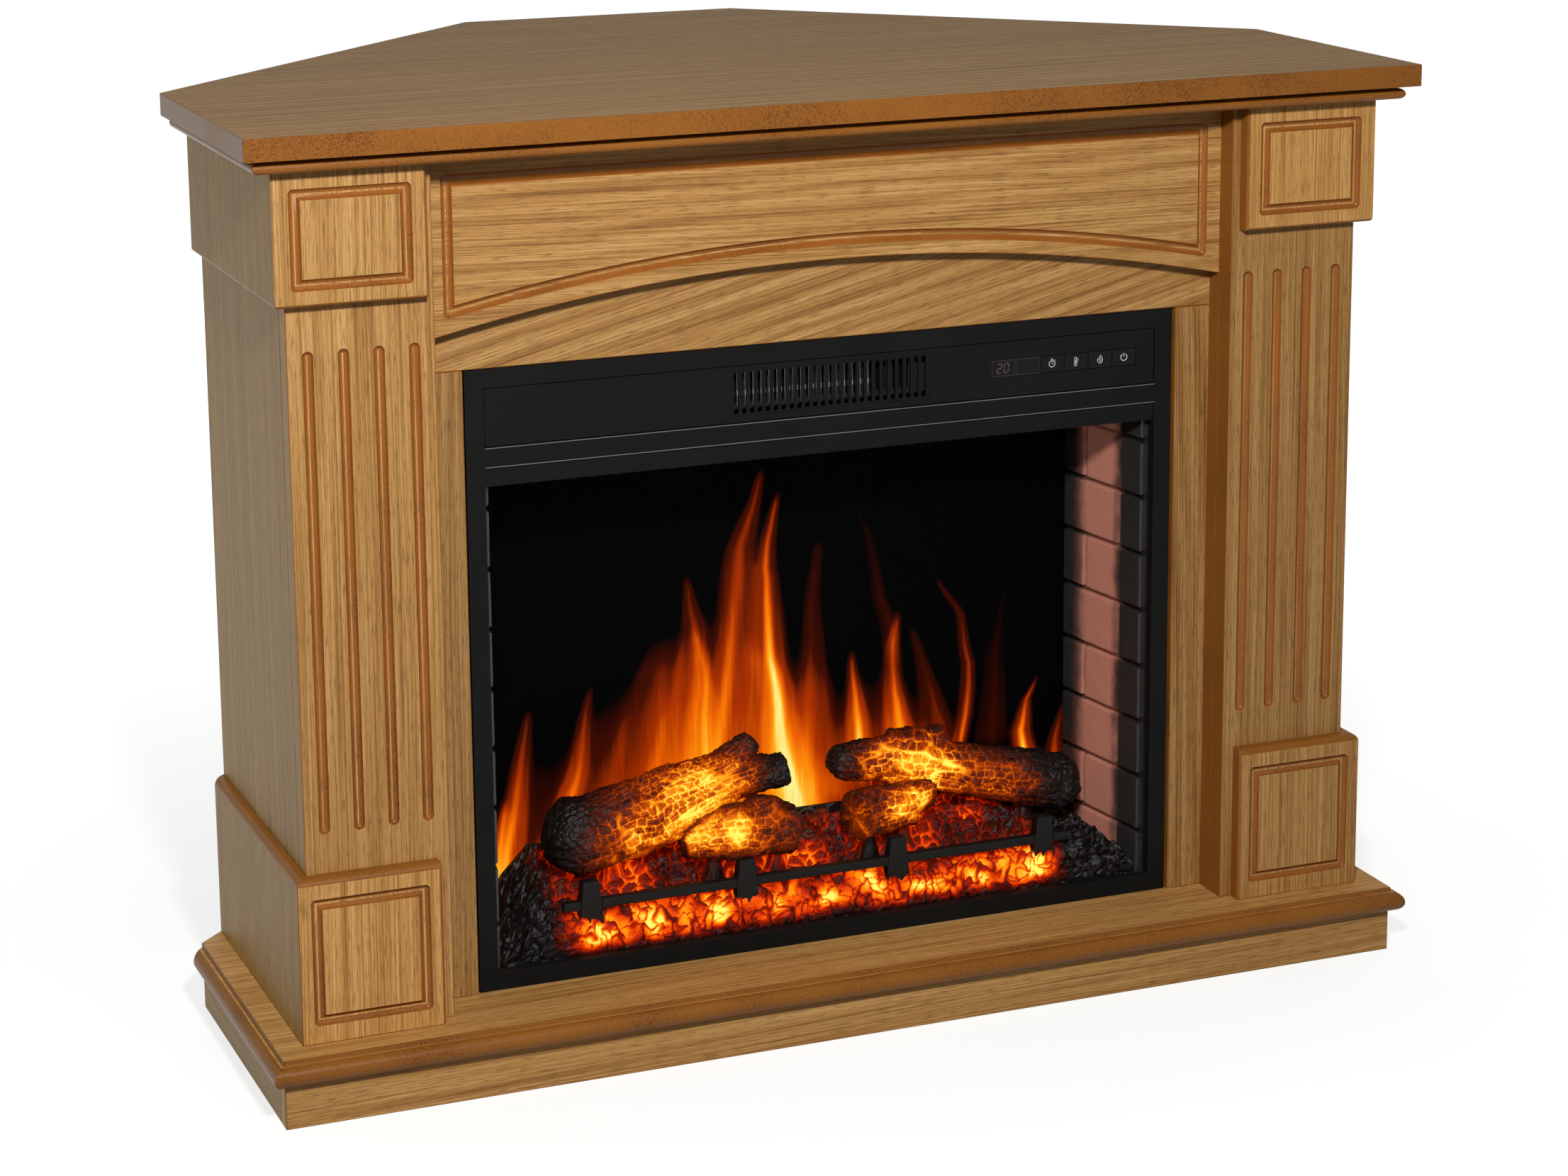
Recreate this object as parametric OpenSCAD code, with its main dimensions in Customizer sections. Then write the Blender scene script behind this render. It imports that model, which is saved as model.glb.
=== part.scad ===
/* [Mantel] */
// Height of the mantel from the floor to the top of the slab
mantel_h = 892; // [860:1:930]
// Width of the top slab
slab_w = 1142; // [1120:1:1160]
// Thickness of the top slab
slab_t = 21; // [18:1:25]
// Width of the carcass over its two side panels
carcass_w = 1058; // [1050:1:1066]
// Depth of the side panels behind the plane of the stiles
side_d = 270; // [260:1:290]
// Width of the flat at the rear corner
rear_w = 302; // [280:1:330]
// Width of each fluted pilaster board
pilaster_w = 134; // [128:1:138]
// Thickness of the pilaster boards
pilaster_t = 22; // [20:1:24]
// Thickness of the frieze and of the boards behind the pilasters
frieze_t = 20; // [18:1:22]
// Thickness of the plain boards
board_t = 18; // [15:1:19]

/* [Mouldings] */
// Width of the routed cove grooves
groove_w = 10; // [8:0.5:12]
// Depth of the routed cove grooves
groove_d = 4; // [3:0.5:5]
// Flutes on each pilaster
flute_count = 4; // [3:1:5]
// Distance from flute to flute
flute_pitch = 32; // [26:1:34]
// Rise of the arched lower edge of the frieze
arch_rise = 44; // [30:1:50]
// Height of the capital blocks
capital_h = 120; // [110:1:130]
// Height of the pedestal blocks up to their rounded edge
pedestal_h = 148; // [140:1:160]
// Thickness of the hearth shelf
shelf_t = 24; // [22:1:26]
// Height of the plinth
plinth_h = 42; // [38:1:50]

/* [Electric fire] */
// Width of the steel trim frame
frame_w = 713; // [700:1:714]
// Height of the steel trim frame
frame_h = 592; // [585:1:594]
// Width of the fire opening
opening_w = 677; // [660:1:680]
// Height of the fire opening
opening_h = 464; // [450:1:466]
// Depth of the steel case
case_d = 219; // [205:1:225]
// Slots in the warm air grille
grille_slots = 25; // [15:2:25]
// Travel of each push button
button_travel = 0.8; // [0.5:0.1:1]

/* [Hidden] */

// The building frame has the front of the stiles at y = 0 and the floor at z = 0.
// Everything is moved at the end so that the origin is under the middle of the mantel's box.
slab_over = 11;
crown_t = 13;
crown_over = 20;
block_over = 12;
block_front = 15;
shadow_gap = 3;
nosing = 11;
shelf_over = 37;
plinth_over = 36;

carcass_x = carcass_w / 2;
layer_y = -frieze_t;
pilaster_y = layer_y - pilaster_t;
block_y = pilaster_y - block_front;
crown_y = block_y - crown_over - 2;
slab_y = crown_y - slab_over;
block_x = carcass_x + block_over;
crown_x = block_x + crown_over;
slab_x = slab_w / 2;
shelf_x = carcass_x + shelf_over;
shelf_y = pilaster_y - shelf_over - 5;
plinth_x = carcass_x + plinth_over;
plinth_y = pilaster_y - plinth_over - 4;
nosing_r = 9.5;
nosing_x = shelf_x + nosing;
front_y = shelf_y - nosing;

// The two walls of the room's corner: |x| + y = corner_sum.
corner_sum = carcass_x + side_d;
rear_x = rear_w / 2;
rear_y = corner_sum - rear_x;
mid_y = (front_y + rear_y) / 2;

slab_z = mantel_h - slab_t;
crown_z = slab_z - crown_t;
shelf_z = plinth_h + shelf_t;
capital_z = crown_z - capital_h;
pedestal_z = shelf_z + pedestal_h;
inner_x = carcass_x - pilaster_w;

// Cove groove: an arc of this radius, centred a little in front of the face.
cove_r = (groove_w * groove_w / 4 + groove_d * groove_d) / (2 * groove_d);
cove_out = cove_r - groove_d;

// Arched edge of the frieze: an arc of a circle.
frieze_end_h = 166;
arch_end_z = crown_z - frieze_end_h;
arch_r = (inner_x * inner_x + arch_rise * arch_rise) / (2 * arch_rise);
arch_cz = arch_end_z + arch_rise - arch_r;

// Electric fire.
fire_x = frame_w / 2;
frame_y = 3;
frame_t = 10;
glass_y = frame_y + frame_t;
glass_t = 3;
case_y = glass_y;
lining_y = glass_y + glass_t + 1;
case_x = 346;
case_z = shelf_z;
case_h = frame_h - 3;
sheet = 2;
case_back = case_y + case_d;
frame_top = shelf_z + frame_h;
open_x = opening_w / 2;
open_z = shelf_z + 17.5;
open_top = open_z + opening_h;
lip_z = open_top + 18;
panel_z = lip_z + 18.5;
panel_top = panel_z + 55;
panel_y = frame_y + 1.2;
panel_t = 3;
seam = 0.8;
grille_x = 101;
grille_z = panel_z + 7;
grille_h = 43;
key_z = panel_z + 20;
key_h = 17;
key_x = 165;
key_w = 25.6;
key_gap = 0.4;
key_inset = 0.4;
cap_t = 2;
stem_l = 1.4;
switch_h = 2;
roof_z = 556;
wood = "#B08A52";
edge_wood = "#8A4A20";
black = "#262626";

module place() translate([0, -mid_y, 0]) children();
module other_side() mirror([1, 0, 0]) children();

// A box from its two corners.
module span(a, b) translate(a) cube(b - a);

// Plan of a board that reaches from its front edge to the corner's walls.
module corner_plan(half_w, y) {
    polygon([
        [-half_w, y], [half_w, y],
        [half_w, corner_sum - half_w], [rear_x, rear_y],
        [-rear_x, rear_y], [-half_w, corner_sum - half_w]]);
}

module corner_board(half_w, y, z, t) {
    translate([0, 0, z]) linear_extrude(t) corner_plan(half_w, y);
}

// A profile drawn as [out, up] carried along X at the front, or along Y at a side.
// The run is longer than the mantel, and the plan that it meets cuts it to length.
run_half = 700;
front_reach = 900;
side_reach = 1300;
module along_front(y) {
    translate([-run_half, y, 0]) rotate([90, 0, 90]) linear_extrude(2 * run_half)
        mirror([1, 0]) children();
}

module along_side(x) {
    translate([x, front_reach, 0]) rotate([90, 0, 0]) linear_extrude(front_reach + 300) children();
}

// Upright board on the right side, cut off at the wall's plane behind.
module side_run(x0, x1, y, z0, z1) {
    translate([0, 0, z0]) linear_extrude(z1 - z0)
        polygon([[x0, y], [x1, y], [x1, corner_sum - x1], [x0, corner_sum - x0]]);
}

// Straight cove cutter from point a to point b on a front face at y.
module cove(a, b, y) {
    run = b - a;
    translate([a[0], y - cove_out, a[1]])
        rotate([0, 90 - atan2(run[1], run[0]), 0])
            cylinder(r = cove_r, h = norm(run), $fn = 48);
}

// Rectangle of cove grooves on a front face, given by the centre line of the groove.
module cove_frame(x0, x1, z0, z1, y) {
    cove([x0, z0], [x1, z0], y);
    cove([x0, z1], [x1, z1], y);
    cove([x0, z0], [x0, z1], y);
    cove([x1, z0], [x1, z1], y);
    for (x = [x0, x1], z = [z0, z1])
        translate([x, y - cove_out, z]) sphere(r = cove_r, $fn = 48);
}

// ---------- Mantel top ----------

module top_slab() place() color(wood) corner_board(slab_x, slab_y, slab_z, slab_t);

// Bed moulding: a round nose under a small shadow gap.
crown_setback = 8;
module crown_profile(reach) {
    nose_r = (crown_t - shadow_gap) / 2;
    translate([-reach, crown_z]) square([reach - nose_r, crown_t - shadow_gap]);
    translate([-nose_r, crown_z + nose_r]) circle(r = nose_r, $fn = 48);
    translate([-reach, crown_z]) square([reach - crown_setback, crown_t]);
}

module crown_run(plan) {
    color(edge_wood) intersection() {
        along_front(crown_y) crown_profile(front_reach);
        along_side(crown_x) crown_profile(side_reach);
        other_side() along_side(crown_x) crown_profile(side_reach);
        translate([0, 0, crown_z]) linear_extrude(crown_t) polygon(plan);
    }
}

// The side lengths lie on the side panels, and the front length on the frieze as well.
panel_in_x = carcass_x - board_t;
mitre_y = crown_y + crown_x - panel_in_x;
crown_side_plan = [
    [crown_x, crown_y], [crown_x, corner_sum - crown_x],
    [panel_in_x, corner_sum - panel_in_x], [panel_in_x, mitre_y]];

module crown_front() place() crown_run([
    [-crown_x, crown_y], [crown_x, crown_y], [panel_in_x, mitre_y],
    [panel_in_x, 0], [-panel_in_x, 0], [-panel_in_x, mitre_y]]);
module crown_right() place() crown_run(crown_side_plan);
module crown_left() place() crown_run([for (p = crown_side_plan) [-p[0], p[1]]]);

// ---------- Frieze ----------

// Board with an arched lower edge and one groove that runs parallel to all its edges.
frieze_border = 20;
frieze_top_border = 24;
arch_border = 18.5;
module frieze_board() {
    side = inner_x - frieze_border;
    top = crown_z - frieze_top_border;
    rim = arch_r + arch_border;
    foot = arch_cz + sqrt(rim * rim - side * side);
    place() color(wood) difference() {
        span([-inner_x, layer_y, arch_end_z - 10], [inner_x, 0, crown_z]);
        translate([0, 1, arch_cz]) rotate([90, 0, 0])
            cylinder(r = arch_r, h = frieze_t + 2, $fn = 720);
        cove([-side, top], [side, top], layer_y);
        for (s = [-1, 1]) {
            cove([s * side, foot], [s * side, top], layer_y);
            translate([s * side, layer_y - cove_out, foot]) sphere(r = cove_r, $fn = 48);
            translate([s * side, layer_y - cove_out, top]) sphere(r = cove_r, $fn = 48);
        }
        intersection() {
            translate([0, layer_y - cove_out, arch_cz]) rotate([90, 0, 0])
                rotate_extrude($fn = 720) translate([rim, 0]) circle(r = cove_r, $fn = 48);
            span([-side, layer_y - 10, foot - 20], [side, 10, crown_z]);
        }
    }
}

stile_back_x = 440;
stile_in_x = fire_x + 2;

module arch_board() place() color(wood)
    span([-stile_back_x, 0, frame_top], [stile_back_x, board_t, crown_z]);

module stile() color(wood) span([stile_in_x, 0, shelf_z], [stile_back_x, board_t, frame_top]);
module right_stile() place() stile();
module left_stile() place() other_side() stile();

// ---------- Pilasters ----------

flute_z0 = pedestal_z + 43;
flute_z1 = capital_z - 42;

module flute(x) {
    translate([x, pilaster_y - cove_out, flute_z0 + cove_r])
        cylinder(r = cove_r, h = flute_z1 - flute_z0 - 2 * cove_r, $fn = 48);
    for (z = [flute_z0, flute_z1 - 2 * cove_r])
        translate([x, pilaster_y - cove_out, z + cove_r]) sphere(r = cove_r, $fn = 48);
}

module pilaster() {
    middle = inner_x + pilaster_w / 2;
    color(wood) difference() {
        span([inner_x, pilaster_y, shelf_z], [carcass_x, layer_y, crown_z]);
        for (i = [0:flute_count - 1]) flute(middle + (i - (flute_count - 1) / 2) * flute_pitch);
    }
}
module right_pilaster() place() pilaster();
module left_pilaster() place() other_side() pilaster();

module backing_board() color(edge_wood)
    span([inner_x, layer_y, shelf_z], [carcass_x - board_t, 0, crown_z]);
module right_backing_board() place() backing_board();
module left_backing_board() place() other_side() backing_board();

module side_panel() color(wood) side_run(carcass_x - board_t, carcass_x, layer_y, shelf_z, crown_z);
module right_side_panel() place() side_panel();
module left_side_panel() place() other_side() side_panel();

// ---------- Capital and pedestal blocks ----------

ease_r = 3;
chamfer_r = 7;

// Cross-section of a block, [out, up], with one rounded outer edge.
module block_profile(reach, z0, z1, r, at_top) {
    round_z = at_top ? z1 - r : z0 + r;
    translate([-reach, z0]) square([reach - r, z1 - z0]);
    translate([-r, at_top ? z0 : round_z]) square([r, z1 - z0 - r]);
    translate([-r, round_z]) circle(r = r, $fn = 48);
}

module block_body(z0, z1, r, at_top) {
    intersection() {
        along_front(block_y) block_profile(front_reach, z0, z1, r, at_top);
        along_side(block_x) block_profile(side_reach, z0, z1, r, at_top);
    }
}

// Front block: mitred to the side block, its inner edge eased.
module block_front_part(x0, z0, z1, r, at_top) {
    intersection() {
        block_body(z0, z1, r, at_top);
        translate([0, 0, z0]) linear_extrude(z1 - z0) {
            polygon([
                [x0 + ease_r, block_y], [block_x, block_y],
                [block_x - block_front, pilaster_y], [x0 + ease_r, pilaster_y]]);
            translate([x0, block_y + ease_r]) square([ease_r, block_front - ease_r]);
            translate([x0 + ease_r, block_y + ease_r]) circle(r = ease_r, $fn = 32);
        }
    }
}

module block_side_part(z0, z1, r, at_top) {
    intersection() {
        block_body(z0, z1, r, at_top);
        translate([0, 0, z0]) linear_extrude(z1 - z0) polygon([
            [block_x, block_y], [block_x, corner_sum - block_x],
            [carcass_x, corner_sum - carcass_x], [carcass_x, pilaster_y],
            [block_x - block_front, pilaster_y]]);
    }
}

capital_x = inner_x + 8;
pedestal_x = inner_x + 12;
pedestal_top = pedestal_z + chamfer_r;
half_groove = groove_w / 2;

module capital_front() color(wood) difference() {
    block_front_part(capital_x, capital_z, crown_z, ease_r, false);
    cove_frame(capital_x + 14 + half_groove, block_x - 15 - half_groove,
        capital_z + 14 + half_groove, crown_z - 17 - half_groove, block_y);
}
module capital_side() color(wood) block_side_part(capital_z, crown_z, ease_r, false);
module right_capital_front() place() capital_front();
module left_capital_front() place() other_side() capital_front();
module right_capital_side() place() capital_side();
module left_capital_side() place() other_side() capital_side();

module pedestal_front() color(wood) difference() {
    block_front_part(pedestal_x, shelf_z, pedestal_top, chamfer_r, true);
    cove_frame(pedestal_x + 12 + half_groove, block_x - 12 - half_groove,
        shelf_z + 17 + half_groove, pedestal_z - 12 - half_groove, block_y);
}
module pedestal_side() color(wood) block_side_part(shelf_z, pedestal_top, chamfer_r, true);
module right_pedestal_front() place() pedestal_front();
module left_pedestal_front() place() other_side() pedestal_front();
module right_pedestal_side() place() pedestal_side();
module left_pedestal_side() place() other_side() pedestal_side();

// ---------- Hearth shelf and plinth ----------

// Edge of the shelf: a flat top with a small step down to a round nose.
module shelf_profile(reach) {
    translate([-reach, plinth_h]) square([reach - nosing, shelf_t]);
    translate([-reach, plinth_h + 0.5]) square([reach - nosing_r, 2 * nosing_r]);
    translate([-nosing_r, plinth_h + 0.5 + nosing_r]) circle(r = nosing_r, $fn = 64);
}

module hearth_shelf() {
    place() color(wood) intersection() {
        along_front(front_y) shelf_profile(front_reach);
        along_side(nosing_x) shelf_profile(side_reach);
        other_side() along_side(nosing_x) shelf_profile(side_reach);
        corner_board(nosing_x, front_y, plinth_h, shelf_t);
    }
}

module plinth_front() place() color(wood)
    span([-plinth_x, plinth_y, 0], [plinth_x, plinth_y + board_t, plinth_h]);
module plinth_side() color(wood)
    side_run(plinth_x - board_t, plinth_x, plinth_y + board_t, 0, plinth_h);
module plinth_right() place() plinth_side();
module plinth_left() place() other_side() plinth_side();
module plinth_rear() place() color(edge_wood)
    span([-rear_x + 11, rear_y - 2 * board_t, 0], [rear_x - 11, rear_y - board_t, plinth_h]);

// ---------- Back of the carcass ----------

module rear_panel() place() color(edge_wood)
    span([-rear_x + 11, rear_y - board_t, shelf_z], [rear_x - 11, rear_y, slab_z]);

// Rail under the slab along each wall, from the side panel to the rear panel.
rail_h = 70;
rail_start = carcass_x - board_t - 2;
rail_len = (rail_start - rear_x - 2) * sqrt(2);
module rear_rail() color(edge_wood)
    translate([rail_start, corner_sum - rail_start, slab_z - rail_h])
        rotate([0, 0, 135]) cube([rail_len, board_t, rail_h]);
module right_rear_rail() place() rear_rail();
module left_rear_rail() place() other_side() rear_rail();

// Three-sided blocks glued into the corners behind the pilasters.
block_len = 120;
module glue_block(z) {
    x = carcass_x - board_t;
    translate([0, 0, z]) linear_extrude(block_len) polygon([[x, 0], [x, 30], [x - 30, 0]]);
}
module glue_blocks() place() color(wood)
    for (z = [shelf_z, crown_z - block_len]) {
        glue_block(z);
        other_side() glue_block(z);
    }

// Angle brackets that hold the fire's case to the backs of the stiles, with their screws.
bracket_t = 2;
bracket_l = 40;
module bracket(z) {
    reach = stile_back_x - 30;
    span([case_x, board_t, z], [reach, board_t + bracket_t, z + 30]);
    span([case_x, board_t + bracket_t, z], [case_x + bracket_t, board_t + bracket_l, z + 30]);
    for (x = [fire_x + 14, reach - 10])
        translate([x, board_t + bracket_t, z + 15]) rotate([-90, 0, 0])
            cylinder(r = 4, h = 2.5, $fn = 32);
}
module fixing_brackets() place() color("#9A9A96")
    for (z = [shelf_z + 60, frame_top - 120]) {
        bracket(z);
        other_side() bracket(z);
    }

// ---------- Electric fire: outside ----------

module fire_case() place() color("#3A3A3A") difference() {
    span([-case_x, case_y, case_z], [case_x, case_back, case_z + case_h]);
    span([-case_x + sheet, case_y - 1, case_z + sheet],
        [case_x - sheet, case_back + 1, roof_z]);
    span([-case_x + sheet, case_y - 1, roof_z + sheet],
        [case_x - sheet, case_back + 1, case_z + case_h - sheet]);
}

// Folded frame: four bars, two stepped bands over the fire and a window for the control panel.
module trim_frame() place() color(black) difference() {
    span([-fire_x, frame_y, shelf_z], [fire_x, glass_y, frame_top]);
    span([-open_x, frame_y - 1, open_z], [open_x, glass_y + 1, open_top]);
    span([-open_x, frame_y - 1, open_top - 1], [open_x, frame_y + 2.4, lip_z]);
    span([-open_x, frame_y - 1, lip_z - 1], [open_x, frame_y + 1.2, panel_z + 1]);
    span([-open_x, frame_y - 1, panel_z], [open_x, glass_y + 1, panel_top]);
}

function key_left(i) = key_x + i * key_w;

// Pressed panel: its face stands up inside a fine seam all round.
module control_fascia() place() color("#1C1C1C") difference() {
    union() {
        span([-open_x + seam, panel_y, panel_z + seam],
            [open_x - seam, panel_y + panel_t, panel_top - seam]);
        span([-open_x, panel_y + 1.5, panel_z], [open_x, panel_y + panel_t, panel_top]);
    }
    span([-grille_x, panel_y - 1, grille_z], [grille_x, panel_y + panel_t + 1, grille_z + grille_h]);
    span([key_x, panel_y - 1, key_z], [key_left(6), panel_y + panel_t + 1, key_z + key_h]);
}

slot_w = 4.4;
grille_border = 6.2;
slot_pitch = 2 * (grille_x - grille_border) / (grille_slots - 1);
module air_grille() place() color("#161616") difference() {
    span([-grille_x, panel_y + 0.5, grille_z],
        [grille_x, panel_y + panel_t - 0.5, grille_z + grille_h]);
    for (i = [0:grille_slots - 1]) {
        x = (i - (grille_slots - 1) / 2) * slot_pitch;
        span([x - slot_w / 2, panel_y - 1, grille_z + 2],
            [x + slot_w / 2, panel_y + panel_t + 1, grille_z + grille_h - 2]);
    }
}

// Clear window over the two-figure display and the receiver of the remote control.
module display_window() place() color("#3A1414")
    span([key_x, panel_y + key_inset, key_z],
        [key_left(2), panel_y + key_inset + cap_t, key_z + key_h]);

// One key: a flat cap with a stem that meets a switch on the circuit board.
module key(i) {
    x0 = key_left(i) + key_gap;
    x1 = key_left(i + 1) - key_gap;
    z0 = key_z + key_gap;
    z1 = key_z + key_h - key_gap;
    color("#202020") {
        span([x0, panel_y + key_inset, z0], [x1, panel_y + key_inset + cap_t, z1]);
        translate([(x0 + x1) / 2, panel_y + key_inset + cap_t, (z0 + z1) / 2])
            rotate([-90, 0, 0]) cylinder(r = 2, h = stem_l, $fn = 32);
    }
}
module timer_button() place() key(2);
module heat_button() place() key(3);
module flame_button() place() key(4);
module power_button() place() key(5);

// Circuit board behind the keys: switches in front, components behind, and four posts that
// stand on the back of the panel. A pressed key stops stop_gap short of its switch.
stop_gap = 0.4;
circuit_t = 1.6;
circuit_y = panel_y + key_inset + cap_t + stem_l + button_travel + stop_gap + switch_h;
module circuit_board() place() color("#1E5A34") {
    span([key_x - 10, circuit_y, key_z - 8],
        [key_left(6) + 10, circuit_y + circuit_t, key_z + key_h + 8]);
    for (i = [2:5])
        translate([key_left(i) + key_w / 2, circuit_y, key_z + key_h / 2]) rotate([90, 0, 0])
            cylinder(r = 3, h = switch_h, $fn = 32);
    for (x = [key_x - 6, key_left(6) + 6], z = [key_z - 4, key_z + key_h + 4])
        translate([x, circuit_y, z]) rotate([90, 0, 0])
            cylinder(r = 2.5, h = circuit_y - panel_y - panel_t, $fn = 32);
    for (i = [0:2])
        translate([key_x + i * 45, circuit_y + circuit_t, key_z]) cube([24, 10, 16]);
}

// ---------- Electric fire: heater ----------

duct_x = 112;
duct_y0 = glass_y + 0.5;
duct_y1 = 134;
blower_y = 96;
blower_z = grille_z + grille_h / 2;
blower_r = 24;
blower_half = 92;
shaft_r = 3;
shaft_gap = 0.05;

// Channel from the blower to the grille; its end cheeks carry the blower's shaft.
// Two folded feet stand on the partition over the fire.
foot_x = 70;
foot_w = 14;
module duct_foot(z0) {
    span([foot_x, duct_y0 + 30, roof_z + sheet], [foot_x + sheet, duct_y1 - 10, z0]);
    span([foot_x, duct_y0 + 30, roof_z + sheet], [foot_x + foot_w, duct_y1 - 10, roof_z + 2 * sheet]);
}

module heater_duct() {
    z0 = blower_z - blower_r - 6;
    z1 = blower_z + blower_r + 6;
    place() color("#B8B8B4") {
        duct_foot(z0);
        other_side() duct_foot(z0);
    }
    place() color("#B8B8B4") difference() {
        span([-duct_x, duct_y0, z0], [duct_x, duct_y1, z1]);
        span([-duct_x + sheet, duct_y0 - 1, z0 + sheet], [duct_x - sheet, duct_y1 + 1, z1 - sheet]);
        translate([-duct_x - 1, blower_y, blower_z]) rotate([0, 90, 0])
            cylinder(r = shaft_r + shaft_gap, h = 2 * duct_x + 2, $fn = 48);
    }
}

// Ribbed heating block between two rails, just behind the grille.
module heater_element() {
    z0 = blower_z - 19;
    z1 = blower_z + 19;
    place() color("#C9C9C6") {
        for (z = [z0, z1 - 5]) span([-96, duct_y0 + 8, z], [96, duct_y0 + 22, z + 5]);
        for (i = [0:31]) {
            x = -93 + i * 6;
            span([x - 0.6, duct_y0 + 8, z0 + 5], [x + 0.6, duct_y0 + 22, z1 - 5]);
        }
        for (side = [0, 1]) mirror([side, 0, 0])
            span([94, duct_y0 + 10, z0], [duct_x - sheet, duct_y0 + 16, z1]);
    }
}

// Drum of long blades between rings on a shaft.
module blower_wheel() {
    blades = 20;
    place() color("#8A8A88") translate([0, blower_y, blower_z]) rotate([0, 90, 0]) {
        translate([0, 0, -duct_x - 12]) cylinder(r = shaft_r, h = 2 * duct_x + 42, $fn = 48);
        for (z = [-blower_half, -2, blower_half - 4]) translate([0, 0, z])
            cylinder(r = blower_r, h = 4, $fn = 64);
        for (i = [0:blades - 1]) rotate([0, 0, i * 360 / blades])
            translate([blower_r - 8, -0.6, -blower_half]) cube([7, 1.2, 2 * blower_half]);
    }
}

// Motor on the duct's right cheek, bored for the end of the shaft.
module blower_motor() place() color("#6A6A68") translate([duct_x, blower_y, blower_z])
    rotate([0, 90, 0]) difference() {
        union() {
            cylinder(r = 22, h = 8, $fn = 64);
            translate([0, 0, 8]) cylinder(r = 28, h = 30, $fn = 64);
            translate([0, 0, 38]) cylinder(r = 10, h = 6, $fn = 48);
        }
        translate([0, 0, -1]) cylinder(r = shaft_r + shaft_gap, h = 36, $fn = 48);
    }

// ---------- Electric fire: fire picture ----------

module front_glass() place() color("#9AA8B0")
    span([-open_x - 4, glass_y, open_z - 4], [open_x + 4, glass_y + glass_t, open_top + 4]);

screen_y = 150;
screen_x = 318;
fire_floor = case_z + sheet;

module flame_screen() place() color("#15100E")
    span([-screen_x, screen_y, fire_floor], [screen_x, screen_y + 3, roof_z]);

// Side lining moulded as brickwork, leaning inwards towards the screen.
course_h = 57;
joint_w = 5;
module brick_panel() {
    lean = 8;
    length = 132;
    color("#5A3A30") translate([open_x + 3, lining_y + 1, fire_floor]) rotate([0, 0, lean])
        difference() {
            translate([-10, 0, 0]) cube([10, length, roof_z - fire_floor]);
            for (i = [1:8]) span([-11, -1, i * course_h - joint_w / 2],
                [-8, length + 1, i * course_h + joint_w / 2]);
            for (i = [0:8]) {
                y = i % 2 == 0 ? 34 : 92;
                span([-11, y, i * course_h], [-8, y + joint_w, (i + 1) * course_h]);
            }
        }
}
module right_brick_panel() place() brick_panel();
module left_brick_panel() place() other_side() brick_panel();

// Pins that stand up from the ember bed and hold the logs: [x, y, top].
pin_r = 3;
pin_gap = 0.1;
left_log_pins = [[-200, 76, 176], [-90, 87, 200]];
right_log_pins = [[80, 92.5, 192], [244, 95, 156]];
left_branch_pins = [[-104, 56, 154], [-38, 58, 154]];
right_branch_pins = [[58, 54, 156], [98, 64, 152]];

module pins(list, r) {
    root_z = fire_floor + 20;
    for (p = list) translate([p[0], p[1], root_z]) cylinder(r = r, h = p[2] - root_z, $fn = 32);
}

// Moulded bed of embers: a bank that climbs from the opening's edge towards the screen.
bed_y = lining_y;
bed_back = screen_y - 1;
bed_side = [[bed_y, fire_floor], [bed_y, 92], [28, 108], [46, 118], [75, 140], [110, 150],
    [bed_back, 152], [bed_back, fire_floor]];
bed_front = [[-330, fire_floor], [-330, 90], [-312, 140], [-290, 152], [170, 152], [262, 122],
    [306, 116], [330, 90], [330, fire_floor]];
bed_plan = [[-330, bed_y], [330, bed_y], [311, bed_back], [-311, bed_back]];

// The posts of the grate stand in sockets in its front.
module ember_bed() place() color("#4A2418") {
    difference() {
        intersection() {
            translate([-fire_x, 0, 0]) rotate([90, 0, 90]) linear_extrude(2 * fire_x)
                polygon(bed_side);
            translate([0, screen_y, 0]) rotate([90, 0, 0]) linear_extrude(screen_y)
                polygon(bed_front);
            linear_extrude(roof_z) polygon(bed_plan);
        }
        for (x = post_xs) grate_post(x, socket_gap);
    }
    pins(concat(left_log_pins, right_log_pins, left_branch_pins, right_branch_pins), pin_r);
}

// Log from point a to point b: a turned shape with swellings, r1 thick at a and r2 at b.
module log_between(a, b, r1, r2, held_by) {
    run = b - a;
    long = norm(run);
    flat = norm([run[0], run[1]]);
    steps = 8;
    function girth(t) = r1 + (r2 - r1) * t + 1.6 * sin(t * 560);
    color("#4A3A30") difference() {
        translate(a) rotate([0, 0, atan2(run[1], run[0])])
            rotate([0, atan2(flat, run[2]), 0]) rotate_extrude($fn = 48)
                polygon(concat([[0, 0]],
                    [for (i = [0:steps]) [girth(i / steps), long * i / steps]], [[0, long]]));
        pins(held_by, pin_r + pin_gap);
    }
}

module left_log() place() log_between([-240, 72, 178], [-36, 92, 222], 30, 25, left_log_pins);
module right_log() place() log_between([38, 92, 212], [298, 96, 154], 22, 26, right_log_pins);
module left_branch() place()
    log_between([-122, 56, 161], [-18, 58, 163], 20, 21, left_branch_pins);
module right_branch() place()
    log_between([46, 51, 163], [110, 67, 160], 21, 19, right_branch_pins);

// Grate: a square bar through four tapered posts that stand in the bed of embers.
grate_y = 35;
grate_x = 264;
bar_z = 121;
bar_t = 9;
post_t = 12;
post_foot = 17;
post_top = 28;
post_w0 = 12.5;
post_w1 = 8;
post_xs = [-237, -79, 79, 237];
socket_gap = 0.2;

// One post, or with a gap round its sides the socket that it stands in.
module grate_post(x, gap) {
    translate([x, grate_y + post_t / 2 + gap, bar_z]) rotate([90, 0, 0])
        linear_extrude(post_t + 2 * gap) polygon([
            [-post_w0 - gap, -post_foot], [post_w0 + gap, -post_foot],
            [post_w1 + gap, post_top], [-post_w1 - gap, post_top]]);
}

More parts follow.
